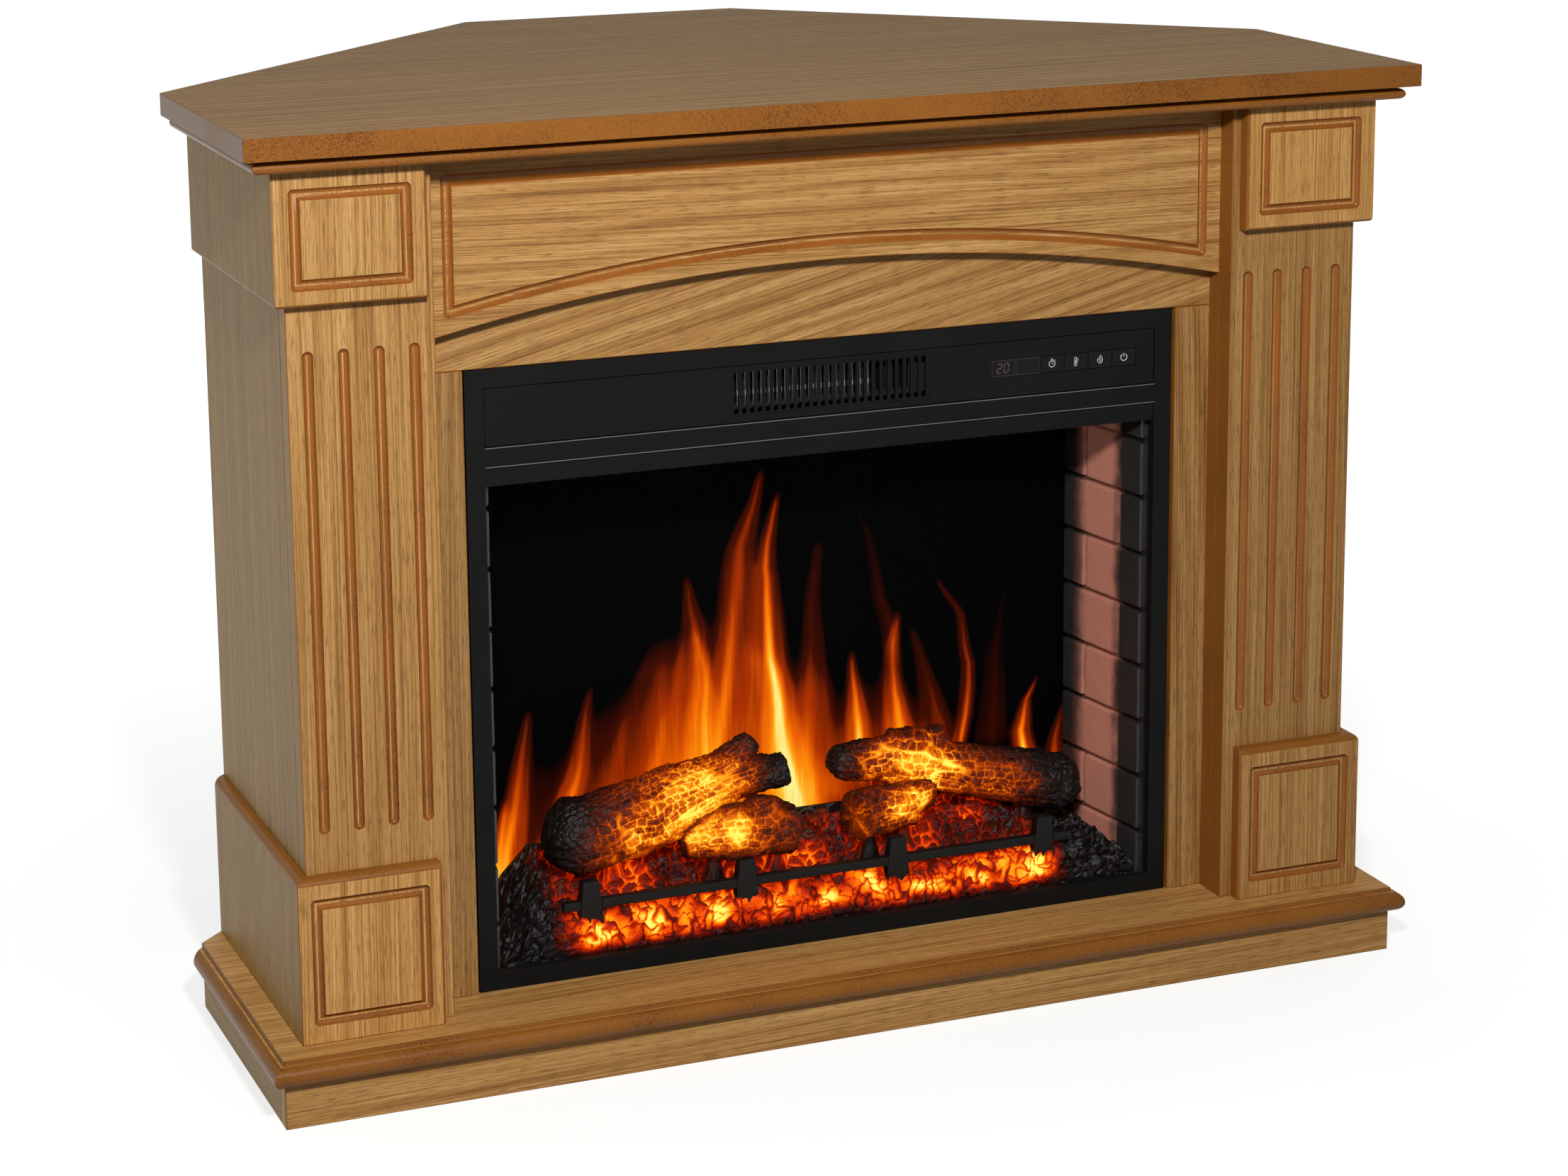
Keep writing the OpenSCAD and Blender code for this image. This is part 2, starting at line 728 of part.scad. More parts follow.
module fire_grate() place() color("#1A1A1A") {
    span([-grate_x, grate_y - bar_t / 2, bar_z], [grate_x, grate_y + bar_t / 2, bar_z + bar_t]);
    for (x = post_xs) grate_post(x, 0);
}

// Rotor behind the screen: a thin shaft with bright tabs that throw moving light on it.
rotor_y = case_back - 36;
rotor_z = 150;
rotor_half = 290;
module flame_rotor() {
    tabs = 26;
    place() color("#D0D0CE") translate([0, rotor_y, rotor_z]) rotate([0, 90, 0]) {
        translate([0, 0, -rotor_half - 12]) cylinder(r = shaft_r, h = 2 * rotor_half + 30, $fn = 48);
        for (i = [0:tabs - 1]) rotate([0, 0, i * 137.5])
            translate([shaft_r - 0.6, -4, -rotor_half + 12 + i * (2 * rotor_half - 32) / (tabs - 1)])
                cube([14, 8, 0.8]);
    }
}

// Motor of the rotor with its bracket, and the bearing bracket at the far end.
module rotor_motor() place() color("#7A7A78") {
    difference() {
        union() {
            translate([rotor_half, rotor_y, rotor_z]) rotate([0, 90, 0])
                cylinder(r = 20, h = 24, $fn = 64);
            span([rotor_half + 2, rotor_y - 24, fire_floor], [rotor_half + 5, rotor_y + 24, rotor_z]);
        }
        translate([rotor_half - 1, rotor_y, rotor_z]) rotate([0, 90, 0])
            cylinder(r = shaft_r + shaft_gap, h = 20, $fn = 48);
    }
    difference() {
        span([-rotor_half - 8, rotor_y - 16, fire_floor], [-rotor_half - 4, rotor_y + 16, rotor_z + 16]);
        translate([-rotor_half - 9, rotor_y, rotor_z]) rotate([0, 90, 0])
            cylinder(r = shaft_r + shaft_gap, h = 6, $fn = 48);
    }
}

// Back of the case: a sheet with vents, screws round its edge and a hole for the cord.
inlet_x = -250;
inlet_z = shelf_z + 60;
inlet_r = 9;
module rear_cover() {
    z0 = case_z + 1;
    z1 = case_z + case_h - 1;
    place() color("#8E8E8C") difference() {
        union() {
            span([-case_x, case_back, z0], [case_x, case_back + sheet, z1]);
            for (x = [-case_x + 9, -110, 110, case_x - 9], z = [z0 + 9, z1 - 9])
                translate([x, case_back + sheet, z]) rotate([-90, 0, 0])
                    cylinder(r = 4, h = 2, $fn = 32);
        }
        for (i = [0:11], s = [-1, 1])
            span([s * 160 - 60 + i * 10, case_back - 1, blower_z - 20],
                [s * 160 - 56 + i * 10, case_back + sheet + 1, blower_z + 20]);
        translate([inlet_x, case_back - 1, inlet_z]) rotate([-90, 0, 0])
            cylinder(r = inlet_r, h = sheet + 2, $fn = 48);
    }
}

// Gland for the supply cord, clipped through the cover.
module cord_inlet() place() color("#1E1E1E") translate([inlet_x, case_back, inlet_z])
    rotate([-90, 0, 0]) difference() {
        union() {
            translate([0, 0, -6]) cylinder(r = inlet_r - 0.1, h = 8, $fn = 48);
            translate([0, 0, 2]) cylinder(r = inlet_r + 4, h = 3, $fn = 48);
            translate([0, 0, 5]) cylinder(r1 = inlet_r, r2 = inlet_r - 3, h = 16, $fn = 48);
        }
        translate([0, 0, -7]) cylinder(r = 3.6, h = 32, $fn = 48);
    }

top_slab();
crown_front();
crown_left();
crown_right();
frieze_board();
arch_board();
left_stile();
right_stile();
left_pilaster();
right_pilaster();
left_backing_board();
right_backing_board();
left_capital_front();
left_capital_side();
right_capital_front();
right_capital_side();
left_pedestal_front();
left_pedestal_side();
right_pedestal_front();
right_pedestal_side();
left_side_panel();
right_side_panel();
hearth_shelf();
plinth_front();
plinth_left();
plinth_right();
plinth_rear();
rear_panel();
left_rear_rail();
right_rear_rail();
glue_blocks();
fixing_brackets();
fire_case();
trim_frame();
control_fascia();
air_grille();
display_window();
timer_button();
heat_button();
flame_button();
power_button();
circuit_board();
heater_duct();
heater_element();
blower_wheel();
blower_motor();
front_glass();
flame_screen();
left_brick_panel();
right_brick_panel();
ember_bed();
left_log();
right_log();
left_branch();
right_branch();
fire_grate();
flame_rotor();
rotor_motor();
rear_cover();
cord_inlet();
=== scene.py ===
"""Looks of an electric corner fireplace: a veneered mantel round a lit screen and embers."""

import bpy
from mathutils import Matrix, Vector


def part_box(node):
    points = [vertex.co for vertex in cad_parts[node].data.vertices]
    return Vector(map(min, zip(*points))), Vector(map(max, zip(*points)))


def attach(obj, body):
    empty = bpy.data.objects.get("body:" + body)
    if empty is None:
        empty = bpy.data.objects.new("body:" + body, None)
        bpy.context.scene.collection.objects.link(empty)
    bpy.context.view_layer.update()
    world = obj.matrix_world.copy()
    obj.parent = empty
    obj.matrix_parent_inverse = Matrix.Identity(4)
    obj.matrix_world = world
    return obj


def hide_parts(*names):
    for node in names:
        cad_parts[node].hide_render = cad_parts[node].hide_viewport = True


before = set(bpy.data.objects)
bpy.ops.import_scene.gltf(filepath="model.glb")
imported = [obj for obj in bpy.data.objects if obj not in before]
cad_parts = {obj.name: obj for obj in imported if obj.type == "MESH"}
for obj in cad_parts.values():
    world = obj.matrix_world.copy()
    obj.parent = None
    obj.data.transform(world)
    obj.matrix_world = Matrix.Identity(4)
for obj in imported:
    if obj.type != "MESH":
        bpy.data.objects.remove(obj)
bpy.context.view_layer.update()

import math

import bmesh
import bpy
import numpy as np
from mathutils import Matrix, Vector

bl_info = {
    "name": "Electric corner fireplace",
    "version": (1, 0, 0),
    "blender": (4, 5, 0),
    "location": "View3D > Sidebar > Fireplace",
    "description": "Veneered mantel, electric fire and studio for the packed fireplace",
    "category": "Object",
}

MM = 0.001
ROOT = "mantel"
STILE_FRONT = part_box("right_stile")[0].y
FLOOR_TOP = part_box("plinth_front")[0].z


def paint(code):
    """Linear RGBA of an sRGB hex colour."""
    parts = [int(code[i:i + 2], 16) / 255 for i in (1, 3, 5)]
    light = [c / 12.92 if c <= 0.04045 else ((c + 0.055) / 1.055) ** 2.4 for c in parts]
    return (*light, 1.0)


def dim(colour, share):
    """The same colour, lighter or darker by a share of its light."""
    return tuple(min(1.0, share * c) for c in tuple(colour)[:3]) + (1.0,)


def at(x, y, z):
    """Point from millimetres: x from the middle, y behind the stiles' front, z from the floor."""
    return Vector((x * MM, y * MM + STILE_FRONT, z * MM))


# ---------- settings ----------

def tint(name, description, code):
    """Colour property with its default given as a hex colour."""
    return bpy.props.FloatVectorProperty(
        name=name, description=description, default=paint(code), size=4, subtype="COLOR",
        min=0, max=1)


def length(name, description, millimetres):
    """Length property with its default given in millimetres."""
    return bpy.props.FloatProperty(
        name=name, description=description, default=millimetres * MM, min=0, precision=5,
        subtype="DISTANCE", unit="LENGTH")


class MantelSettings(bpy.types.PropertyGroup):
    """Veneer, lacquer and edges of the mantel."""
    veneer_light: tint("Veneer light", "Early wood between the grain lines", "#C49C64")
    veneer_mid: tint("Veneer middle", "Main tone of the veneer", "#A97C43")
    veneer_dark: tint("Veneer dark", "Late wood in the grain lines", "#754A20")
    edge_tone: tint("Edge lacquer", "Toned lacquer on routed board edges", "#88541E")
    groove_tone: tint("Groove lacquer", "Toned lacquer in the routed grooves", "#905622")
    board_tone: tint("Raw board", "Bare fibreboard behind", "#A98A62")
    edge_round: length("Edge rounding", "Radius worn on the boards' outer edges", 0.9)
    rim_round: length("Groove rounding", "Radius on the rims of the grooves", 0.35)


class FireSettings(bpy.types.PropertyGroup):
    """Steel, fire picture, embers and lining of the electric fire."""
    steel_tone: tint("Powder coat", "Black powder coat on the trim", "#131313")
    # The lining's lit face and unlit tone are painted light and painted shade: the fire's light on
    # it.
    painted_lit_brick_tone: tint("Brick", "Lit face of the moulded brick lining", "#BC7C6A")
    unlit_painted_shade_tone: tint("Joint", "Unlit lining", "#2B2928")
    char_tone: tint("Charcoal", "Charred resin of the logs and embers", "#110D0D")
    glow: bpy.props.FloatProperty(
        name="Glow", description="Strength of the embers' own light", default=1.15, min=0, max=10)
    flame: bpy.props.FloatProperty(
        name="Flame", description="Strength of the flame picture's light", default=1.0, min=0,
        max=10)


class StageSettings(bpy.types.PropertyGroup):
    """Floor and lamps."""
    floor_tone: tint("Floor", "Plain pale floor", "#92918F")
    key_power: bpy.props.FloatProperty(
        name="Key lamp", description="Small lamp above the front left, in watts", default=51,
        min=0)
    sky: bpy.props.FloatProperty(
        name="Sky", description="Even light from all round", default=0.07, min=0, max=2)


# ---------- small helpers ----------

# Inputs of the Mix node by number, because its numbers and its colours share their names.
NUMBER_A = 2
NUMBER_B = 3
COLOUR_A = 6
COLOUR_B = 7


def add(tree, kind, sockets=None, stops=None, **settings):
    """Add a node with its settings; sockets are given values or linked; stops fill its ramp."""
    made = tree.nodes.new(kind)
    for name, value in settings.items():
        setattr(made, name, value)
    for key, value in (sockets or {}).items():
        if isinstance(value, bpy.types.NodeSocket):
            tree.links.new(value, made.inputs[key])
        else:
            made.inputs[key].default_value = value
    if stops:
        ramp = made.color_ramp.elements
        for element, (place, colour) in ((ramp[-1], stops[-1]), (ramp[0], stops[0])):
            element.position = place
            element.color = colour
        for place, colour in stops[1:-1]:
            ramp.new(place).color = colour
    return made


def surface(name, **sockets):
    """Material with one Principled shader; returns its tree and the shader."""
    made = bpy.data.materials.new(name)
    made.use_nodes = True
    shader = made.node_tree.nodes["Principled BSDF"]
    for key, value in sockets.items():
        shader.inputs[key.replace("_", " ")].default_value = value
    return made.node_tree, shader


def finish(tree, shader, colour, dull, rough, relief, strength, height):
    """Link a colour to a shader, with a roughness between two values that follows the pattern
    dull, and a bump of some millimetres' height that follows the pattern relief."""
    gloss = add(tree, "ShaderNodeMapRange", {
        "Value": dull, "To Min": rough[0], "To Max": rough[1]})
    bump = add(tree, "ShaderNodeBump", {
        "Strength": strength, "Distance": height * MM, "Height": relief})
    tree.links.new(colour, shader.inputs["Base Color"])
    tree.links.new(gloss.outputs[0], shader.inputs["Roughness"])
    tree.links.new(bump.outputs[0], shader.inputs["Normal"])


def own_material(name):
    """Material made earlier in this run."""
    return bpy.data.materials[name]


def new_piece(name, mesh, materials, body, slot, *nodes):
    """Link a mesh as a piece that rides on a body and stands for its CAD nodes."""
    made = bpy.data.objects.new(name, mesh)
    bpy.context.scene.collection.objects.link(made)
    for item in materials:
        mesh.materials.append(own_material(item))
    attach(made, body)
    if nodes:
        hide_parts(*nodes)
    return made


def copy_of(node):
    """Closed bmesh copy of a CAD node, its triangles joined back into flat faces."""
    shape = bmesh.new()
    shape.from_mesh(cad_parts[node].data)
    bmesh.ops.remove_doubles(shape, verts=shape.verts, dist=0.001 * MM)
    bmesh.ops.dissolve_limit(
        shape, angle_limit=math.radians(0.3), verts=shape.verts, edges=shape.edges)
    return shape


def to_mesh(shape, name, sharp=35):
    """Mesh from a bmesh, shaded smooth up to the sharp angle in degrees."""
    made = bpy.data.meshes.new(name)
    shape.to_mesh(made)
    shape.free()
    if "custom_normal" in made.attributes:
        made.attributes.remove(made.attributes["custom_normal"])
    made.shade_smooth()
    made.set_sharp_from_angle(angle=math.radians(sharp))
    return made


def evaluated(name, mesh, prepare):
    """Plain mesh of what the modifiers make of a mesh; prepare adds them to its object."""
    holder = bpy.data.objects.new(f"{name}_raw", mesh)
    bpy.context.scene.collection.objects.link(holder)
    prepare(holder)
    graph = bpy.context.evaluated_depsgraph_get()
    made = bpy.data.meshes.new_from_object(holder.evaluated_get(graph), depsgraph=graph)
    holder.modifiers.clear()
    bpy.data.objects.remove(holder)
    bpy.data.meshes.remove(mesh)
    made.name = name
    return made


def even_normals(obj):
    """Let large flat faces keep their own normals beside rounded edges."""
    made = obj.modifiers.new("normals", "WEIGHTED_NORMAL")
    made.keep_sharp = True
    made.weight = 80


# Least area in square metres of a face whose edges count as outer edges, on boards and on steel.
BOARD_FACE = 3e-5
STEEL_FACE = 1e-6


def round_edges(shape, size, rim, tone=0, large=BOARD_FACE):
    """Round the sharp edges: size between large faces, rim beside small ones, such as grooves."""
    edges = [e for e in shape.edges if e.is_manifold and e.calc_face_angle(0) > math.radians(40)]
    outer = [e for e in edges if min(f.calc_area() for f in e.link_faces) > large]
    outer_set = set(outer)
    inner = [e for e in edges if e not in outer_set]
    for group, offset in ((inner, rim), (outer, size)):
        group = [e for e in group if e.is_valid]
        if group and offset > 0:
            bmesh.ops.bevel(
                shape, geom=group, offset=offset, offset_type="OFFSET", segments=2, profile=0.5,
                affect="EDGES", clamp_overlap=False, material=tone)


def dress(node, name, material, body, slot, size, large=BOARD_FACE):
    """Piece that stands for a CAD node: its copy with rounded edges, in one material."""
    shape = copy_of(node)
    round_edges(shape, size, 0, large=large)
    even_normals(new_piece(name, to_mesh(shape, name), [material], body, slot, node))


def step_up(low, high, value):
    """Smooth step from 0 at low to 1 at high."""
    t = np.clip((value - low) / (high - low), 0, 1)
    return t * t * (3 - 2 * t)


# Cells that a pattern of random numbers has before it repeats.
TABLE = 64


def drift(u, v, seed):
    """Smooth noise from -1 to 1 over arrays of lattice places."""
    table = np.random.default_rng(seed).uniform(-1, 1, (TABLE, TABLE))
    i = np.floor(u).astype(int)
    j = np.floor(v).astype(int)
    a = step_up(0, 1, u - i)
    b = step_up(0, 1, v - j)
    low = table[i % TABLE, j % TABLE] * (1 - a) + table[(i + 1) % TABLE, j % TABLE] * a
    high = table[i % TABLE, (j + 1) % TABLE] * (1 - a) + table[(i + 1) % TABLE, (j + 1) % TABLE] * a
    return low * (1 - b) + high * b


def bell(value, width):
    """Bell curve: 1 where the value is 0, and falling off over the width on both sides."""
    return np.exp(-(value / width) ** 2)


def store(mesh, name, values):
    """Store one number per point; points past the last number get 0."""
    numbers = np.zeros(len(mesh.vertices), dtype=np.float32)
    numbers[:len(values)] = values
    mesh.attributes.new(name, "FLOAT", "POINT").data.foreach_set("value", numbers)


def skin_over(places, wide):
    """Bmesh skin over rows of places, each row wide places long."""
    shape = bmesh.new()
    points = [shape.verts.new(p) for p in places]
    for k in range(len(points) - wide):
        if (k + 1) % wide:
            shape.faces.new((points[k], points[k + 1], points[k + 1 + wide], points[k + wide]))
    return shape


def close_skin(shape, axis, level):
    """Draw the rim of a skin out to a level along an axis, and close it there."""
    rim = [e for e in shape.edges if e.is_boundary]
    drawn = bmesh.ops.extrude_edge_only(shape, edges=rim)["geom"]
    for vertex in (g for g in drawn if isinstance(g, bmesh.types.BMVert)):
        vertex.co[axis] = level
    far = [e for e in shape.edges if e.is_boundary]
    bmesh.ops.contextual_create(shape, geom=far)


# ---------- materials of the mantel ----------

def make_veneer(name, figure):
    """Oak-like veneer, sliced and lacquered satin: crisp straight lines, short dark pores, a dull
    gloss that the pores break. figure is how strongly the arches of a crown cut show. A board's
    shade comes from its attribute board_tone: partly its own tone, and partly painted light and
    painted shade for how the light falls on that board."""
    look = bpy.context.scene.mantel_settings
    tree, shader = surface(name, Specular_IOR_Level=0.3)
    grain = add(tree, "ShaderNodeUVMap", uv_map="grain").outputs["UV"]
    # The UV map is in metres: x across the grain, y along it. Lines wander up to 7 mm aside.
    slow = add(tree, "ShaderNodeMapping", {"Vector": grain, "Scale": (9, 1.6, 1)})
    wander = add(tree, "ShaderNodeTexNoise", {
        "Vector": slow.outputs[0], "Scale": 1.0, "Detail": 2.0})
    centred = add(tree, "ShaderNodeVectorMath", {
        0: wander.outputs["Color"], 1: (0.5, 0.5, 0.5)}, operation="SUBTRACT")
    shift = add(tree, "ShaderNodeVectorMath", {
        0: centred.outputs[0], 1: (0.014, 0.0, 0.0)}, operation="MULTIPLY")
    bent = add(tree, "ShaderNodeVectorMath", {
        0: grain, 1: shift.outputs[0]}, operation="ADD").outputs[0]
    # Broad stripes of 17 mm, growth lines of 2 mm, fibres of 1 mm and pores of 1.1 x 22 mm.
    noise = {}
    for layer, across, along, detail, rough in (
            ("stripe", 60, 1.1, 2.0, 0.5), ("line", 520, 3, 4.0, 0.55),
            ("fibre", 1000, 10, 3.0, 0.65), ("pore", 900, 45, 2.0, 0.6)):
        sized = add(tree, "ShaderNodeMapping", {"Vector": bent, "Scale": (across, along, 1)})
        noise[layer] = add(tree, "ShaderNodeTexNoise", {
            "Vector": sized.outputs[0], "Scale": 1.0, "Detail": detail,
            "Roughness": rough}).outputs["Fac"]
    crisp = add(tree, "ShaderNodeMapRange", {
        "Value": noise["line"], "From Min": 0.29, "From Max": 0.71})
    long = add(tree, "ShaderNodeMapping", {"Vector": bent, "Scale": (1, 0.16, 1)})
    arches = add(tree, "ShaderNodeTexWave", {
        "Vector": long.outputs[0], "Scale": 17.0, "Distortion": 4.0, "Detail": 3.0,
        "Detail Scale": 1.6}, wave_type="RINGS", rings_direction="Z")
    base = add(tree, "ShaderNodeMix", {
        "Factor": figure, NUMBER_A: noise["stripe"], NUMBER_B: arches.outputs["Fac"]})
    lined = add(tree, "ShaderNodeMix", {
        "Factor": 0.5, NUMBER_A: base.outputs[0], NUMBER_B: crisp.outputs[0]})
    mixed = add(tree, "ShaderNodeMix", {
        "Factor": 0.3, NUMBER_A: lined.outputs[0], NUMBER_B: noise["fibre"]})
    colour = add(tree, "ShaderNodeValToRGB", {"Fac": mixed.outputs[0]}, stops=[
        (0.28, look.veneer_dark), (0.5, look.veneer_mid), (0.72, look.veneer_light)])
    pores = add(tree, "ShaderNodeMapRange", {
        "Value": noise["pore"], "From Min": 0.54, "From Max": 0.66, "To Max": 0.65})
    pored = add(tree, "ShaderNodeMix", {
        "Factor": pores.outputs[0], COLOUR_A: colour.outputs[0], COLOUR_B: paint("#67431D")},
        data_type="RGBA")
    # board_tone: partly the board's own tone, partly painted light and shade for how light falls on
    # it.
    shade = add(tree, "ShaderNodeAttribute", attribute_name="board_tone").outputs["Fac"]
    final = add(tree, "ShaderNodeVectorMath", {
        0: pored.outputs["Result"], "Scale": shade}, operation="SCALE")
    dent = add(tree, "ShaderNodeMath", {
        0: noise["fibre"], 1: pores.outputs[0]}, operation="SUBTRACT")
    finish(tree, shader, final.outputs[0], dull=noise["line"], rough=(0.44, 0.6),
           relief=dent.outputs[0], strength=0.3, height=0.3)


def make_lacquered_board(name, tone, dark, rough):
    """Fibreboard routed and sprayed with toned lacquer: warm brown, fine fibre specks, satin."""
    tree, shader = surface(name, Specular_IOR_Level=0.2)
    place = add(tree, "ShaderNodeTexCoord").outputs["Object"]
    # Fibre bundles of about 1 mm, the darkest as flecks, and clouds of 80 mm of thicker lacquer.
    fibre = add(tree, "ShaderNodeTexNoise", {
        "Vector": place, "Scale": 1000.0, "Detail": 3.0, "Roughness": 0.7}).outputs["Fac"]
    cloud = add(tree, "ShaderNodeTexNoise", {
        "Vector": place, "Scale": 12.0, "Detail": 1.0}).outputs["Fac"]
    blend = add(tree, "ShaderNodeMix", {"Factor": 0.25, NUMBER_A: fibre, NUMBER_B: cloud})
    colour = add(tree, "ShaderNodeValToRGB", {"Fac": blend.outputs[0]}, stops=[
        (0.36, paint(dark)), (0.46, tone), (0.68, dim(tone, 1.2))])
    finish(tree, shader, colour.outputs[0], dull=cloud, rough=(rough - 0.06, rough + 0.06),
           relief=fibre, strength=0.15, height=0.2)


def make_raw_board(name, tone, fleck):
    """Bare pressed fibreboard: dull, pale brown, felted with darker flecks of about 2 mm."""
    tree, shader = surface(name, Roughness=0.85)
    place = add(tree, "ShaderNodeTexCoord").outputs["Object"]
    felt = add(tree, "ShaderNodeTexNoise", {
        "Vector": place, "Scale": 420.0, "Detail": 4.0, "Roughness": 0.7}).outputs["Fac"]
    cloud = add(tree, "ShaderNodeTexNoise", {
        "Vector": place, "Scale": 6.0, "Detail": 1.0}).outputs["Fac"]
    blend = add(tree, "ShaderNodeMix", {"Factor": 0.12, NUMBER_A: felt, NUMBER_B: cloud})
    colour = add(tree, "ShaderNodeValToRGB", {"Fac": blend.outputs[0]}, stops=[
        (0.3, paint(fleck)), (0.48, tone), (0.66, dim(tone, 1.15))])
    finish(tree, shader, colour.outputs[0], dull=felt, rough=(0.75, 0.95),
           relief=felt, strength=0.35, height=0.4)


def make_pine(name):
    """Sawn pine: yellow-white with darker growth lines about 12 mm apart along a lying rail, and
    a fuzzy saw finish."""
    tree, shader = surface(name, Roughness=0.8)
    place = add(tree, "ShaderNodeTexCoord").outputs["Object"]
    lying = add(tree, "ShaderNodeMapping", {"Vector": place, "Scale": (2.4, 2.4, 85)})
    rings = add(tree, "ShaderNodeTexNoise", {
        "Vector": lying.outputs[0], "Scale": 1.0, "Detail": 3.0, "Roughness": 0.55,
        "Distortion": 0.6})
    sawn = add(tree, "ShaderNodeMapping", {"Vector": place, "Scale": (60, 60, 900)})
    fuzz = add(tree, "ShaderNodeTexNoise", {
        "Vector": sawn.outputs[0], "Scale": 1.0}).outputs["Fac"]
    blend = add(tree, "ShaderNodeMix", {
        "Factor": 0.3, NUMBER_A: rings.outputs["Fac"], NUMBER_B: fuzz}).outputs[0]
    colour = add(tree, "ShaderNodeValToRGB", {"Fac": blend}, stops=[
        (0.32, paint("#BE9256")), (0.5, paint("#D8BA86")), (0.68, paint("#E4CB9E"))])
    finish(tree, shader, colour.outputs[0], dull=fuzz, rough=(0.7, 0.9),
           relief=blend, strength=0.4, height=0.3)


# ---------- materials of the fire ----------

def make_coated(name, tone, grit, rough, gloss):
    """Powder-coated or moulded surface: an even tone over a fine peel of grit millimetres."""
    tree, shader = surface(name, Specular_IOR_Level=gloss)
    place = add(tree, "ShaderNodeTexCoord").outputs["Object"]
    peel = add(tree, "ShaderNodeTexNoise", {
        "Vector": place, "Scale": 1 / (grit * MM), "Detail": 2.0}).outputs["Fac"]
    cloud = add(tree, "ShaderNodeTexNoise", {"Vector": place, "Scale": 14.0, "Detail": 3.0})
    colour = add(tree, "ShaderNodeValToRGB", {"Fac": cloud.outputs["Fac"]}, stops=[
        (0.3, dim(tone, 0.86)), (0.7, dim(tone, 1.12))])
    finish(tree, shader, colour.outputs[0], dull=peel, rough=(rough - 0.06, rough + 0.06),
           relief=peel, strength=0.12, height=0.2)


def make_zinc(name):
    """Zinc-coated sheet steel: bluish grey with soft crystals of about 8 mm."""
    tree, shader = surface(name, Metallic=0.9)
    place = add(tree, "ShaderNodeTexCoord").outputs["Object"]
    crystal = add(tree, "ShaderNodeTexVoronoi", {"Vector": place, "Scale": 125.0})
    grey = add(tree, "ShaderNodeValToRGB", {"Fac": crystal.outputs["Color"]}, stops=[
        (0.1, paint("#B0B3B5")), (0.9, paint("#BBBEC0"))])
    rolled = add(tree, "ShaderNodeMapping", {"Vector": place, "Scale": (40, 40, 1500)})
    scratch = add(tree, "ShaderNodeTexNoise", {"Vector": rolled.outputs[0], "Scale": 1.0})
    finish(tree, shader, grey.outputs[0], dull=crystal.outputs["Distance"], rough=(0.38, 0.48),
           relief=scratch.outputs["Fac"], strength=0.08, height=0.2)


def make_bare_metal(name, tone, rough):
    """Rolled or drawn metal: fine drawing lines and a few duller patches of about 17 mm."""
    tree, shader = surface(name, Metallic=1.0)
    place = add(tree, "ShaderNodeTexCoord").outputs["Object"]
    pulled = add(tree, "ShaderNodeMapping", {"Vector": place, "Scale": (60, 2000, 2000)})
    drawn = add(tree, "ShaderNodeTexNoise", {
        "Vector": pulled.outputs[0], "Scale": 1.0}).outputs["Fac"]
    dull = add(tree, "ShaderNodeTexNoise", {"Vector": place, "Scale": 60.0, "Detail": 3.0})
    colour = add(tree, "ShaderNodeValToRGB", {"Fac": dull.outputs["Fac"]}, stops=[
        (0.3, dim(paint(tone), 0.75)), (0.65, paint(tone))])
    finish(tree, shader, colour.outputs[0], dull=drawn, rough=(rough - 0.08, rough + 0.1),
           relief=drawn, strength=0.1, height=0.1)


def make_circuit(name):
    """Glass-fibre circuit board: green mask over a faint weave of 1 mm and copper tracks."""
    tree, shader = surface(name, Roughness=0.35, Coat_Weight=0.5, Coat_Roughness=0.1)
    place = add(tree, "ShaderNodeTexCoord").outputs["Object"]
    tracks = add(tree, "ShaderNodeTexBrick", {
        "Vector": place, "Scale": 220.0, "Color1": paint("#1E5A34"), "Color2": paint("#1B5230"),
        "Mortar": paint("#2F7A48"), "Mortar Size": 0.03})
    tree.links.new(tracks.outputs["Color"], shader.inputs["Base Color"])
    weave = add(tree, "ShaderNodeTexNoise", {"Vector": place, "Scale": 1000.0})
    bump = add(tree, "ShaderNodeBump", {
        "Strength": 0.1, "Distance": 0.1 * MM, "Height": weave.outputs["Fac"]})
    tree.links.new(bump.outputs[0], shader.inputs["Normal"])


def make_glass(name):
    """Clear toughened glass: nothing but a thin gloss that grows towards the edges of sight."""
    tree, shader = surface(
        name, Base_Color=paint("#0A0C0C"), Roughness=0.03, Specular_IOR_Level=0.5)
    clear = add(tree, "ShaderNodeBsdfTransparent")
    # A Fresnel node would make the pane's far face a mirror at flat angles, because the ray isn't
    # bent on its way in. Facing is alike on both faces and leaves the fire in view.
    slant = add(tree, "ShaderNodeLayerWeight", {"Blend": 0.5}).outputs["Facing"]
    veil = add(tree, "ShaderNodeMath", {0: slant, 1: 8.0}, operation="POWER")
    mix = add(tree, "ShaderNodeMixShader", {
        0: veil.outputs[0], 1: clear.outputs[0], 2: shader.outputs[0]})
    tree.links.new(mix.outputs[0], tree.nodes["Material Output"].inputs["Surface"])


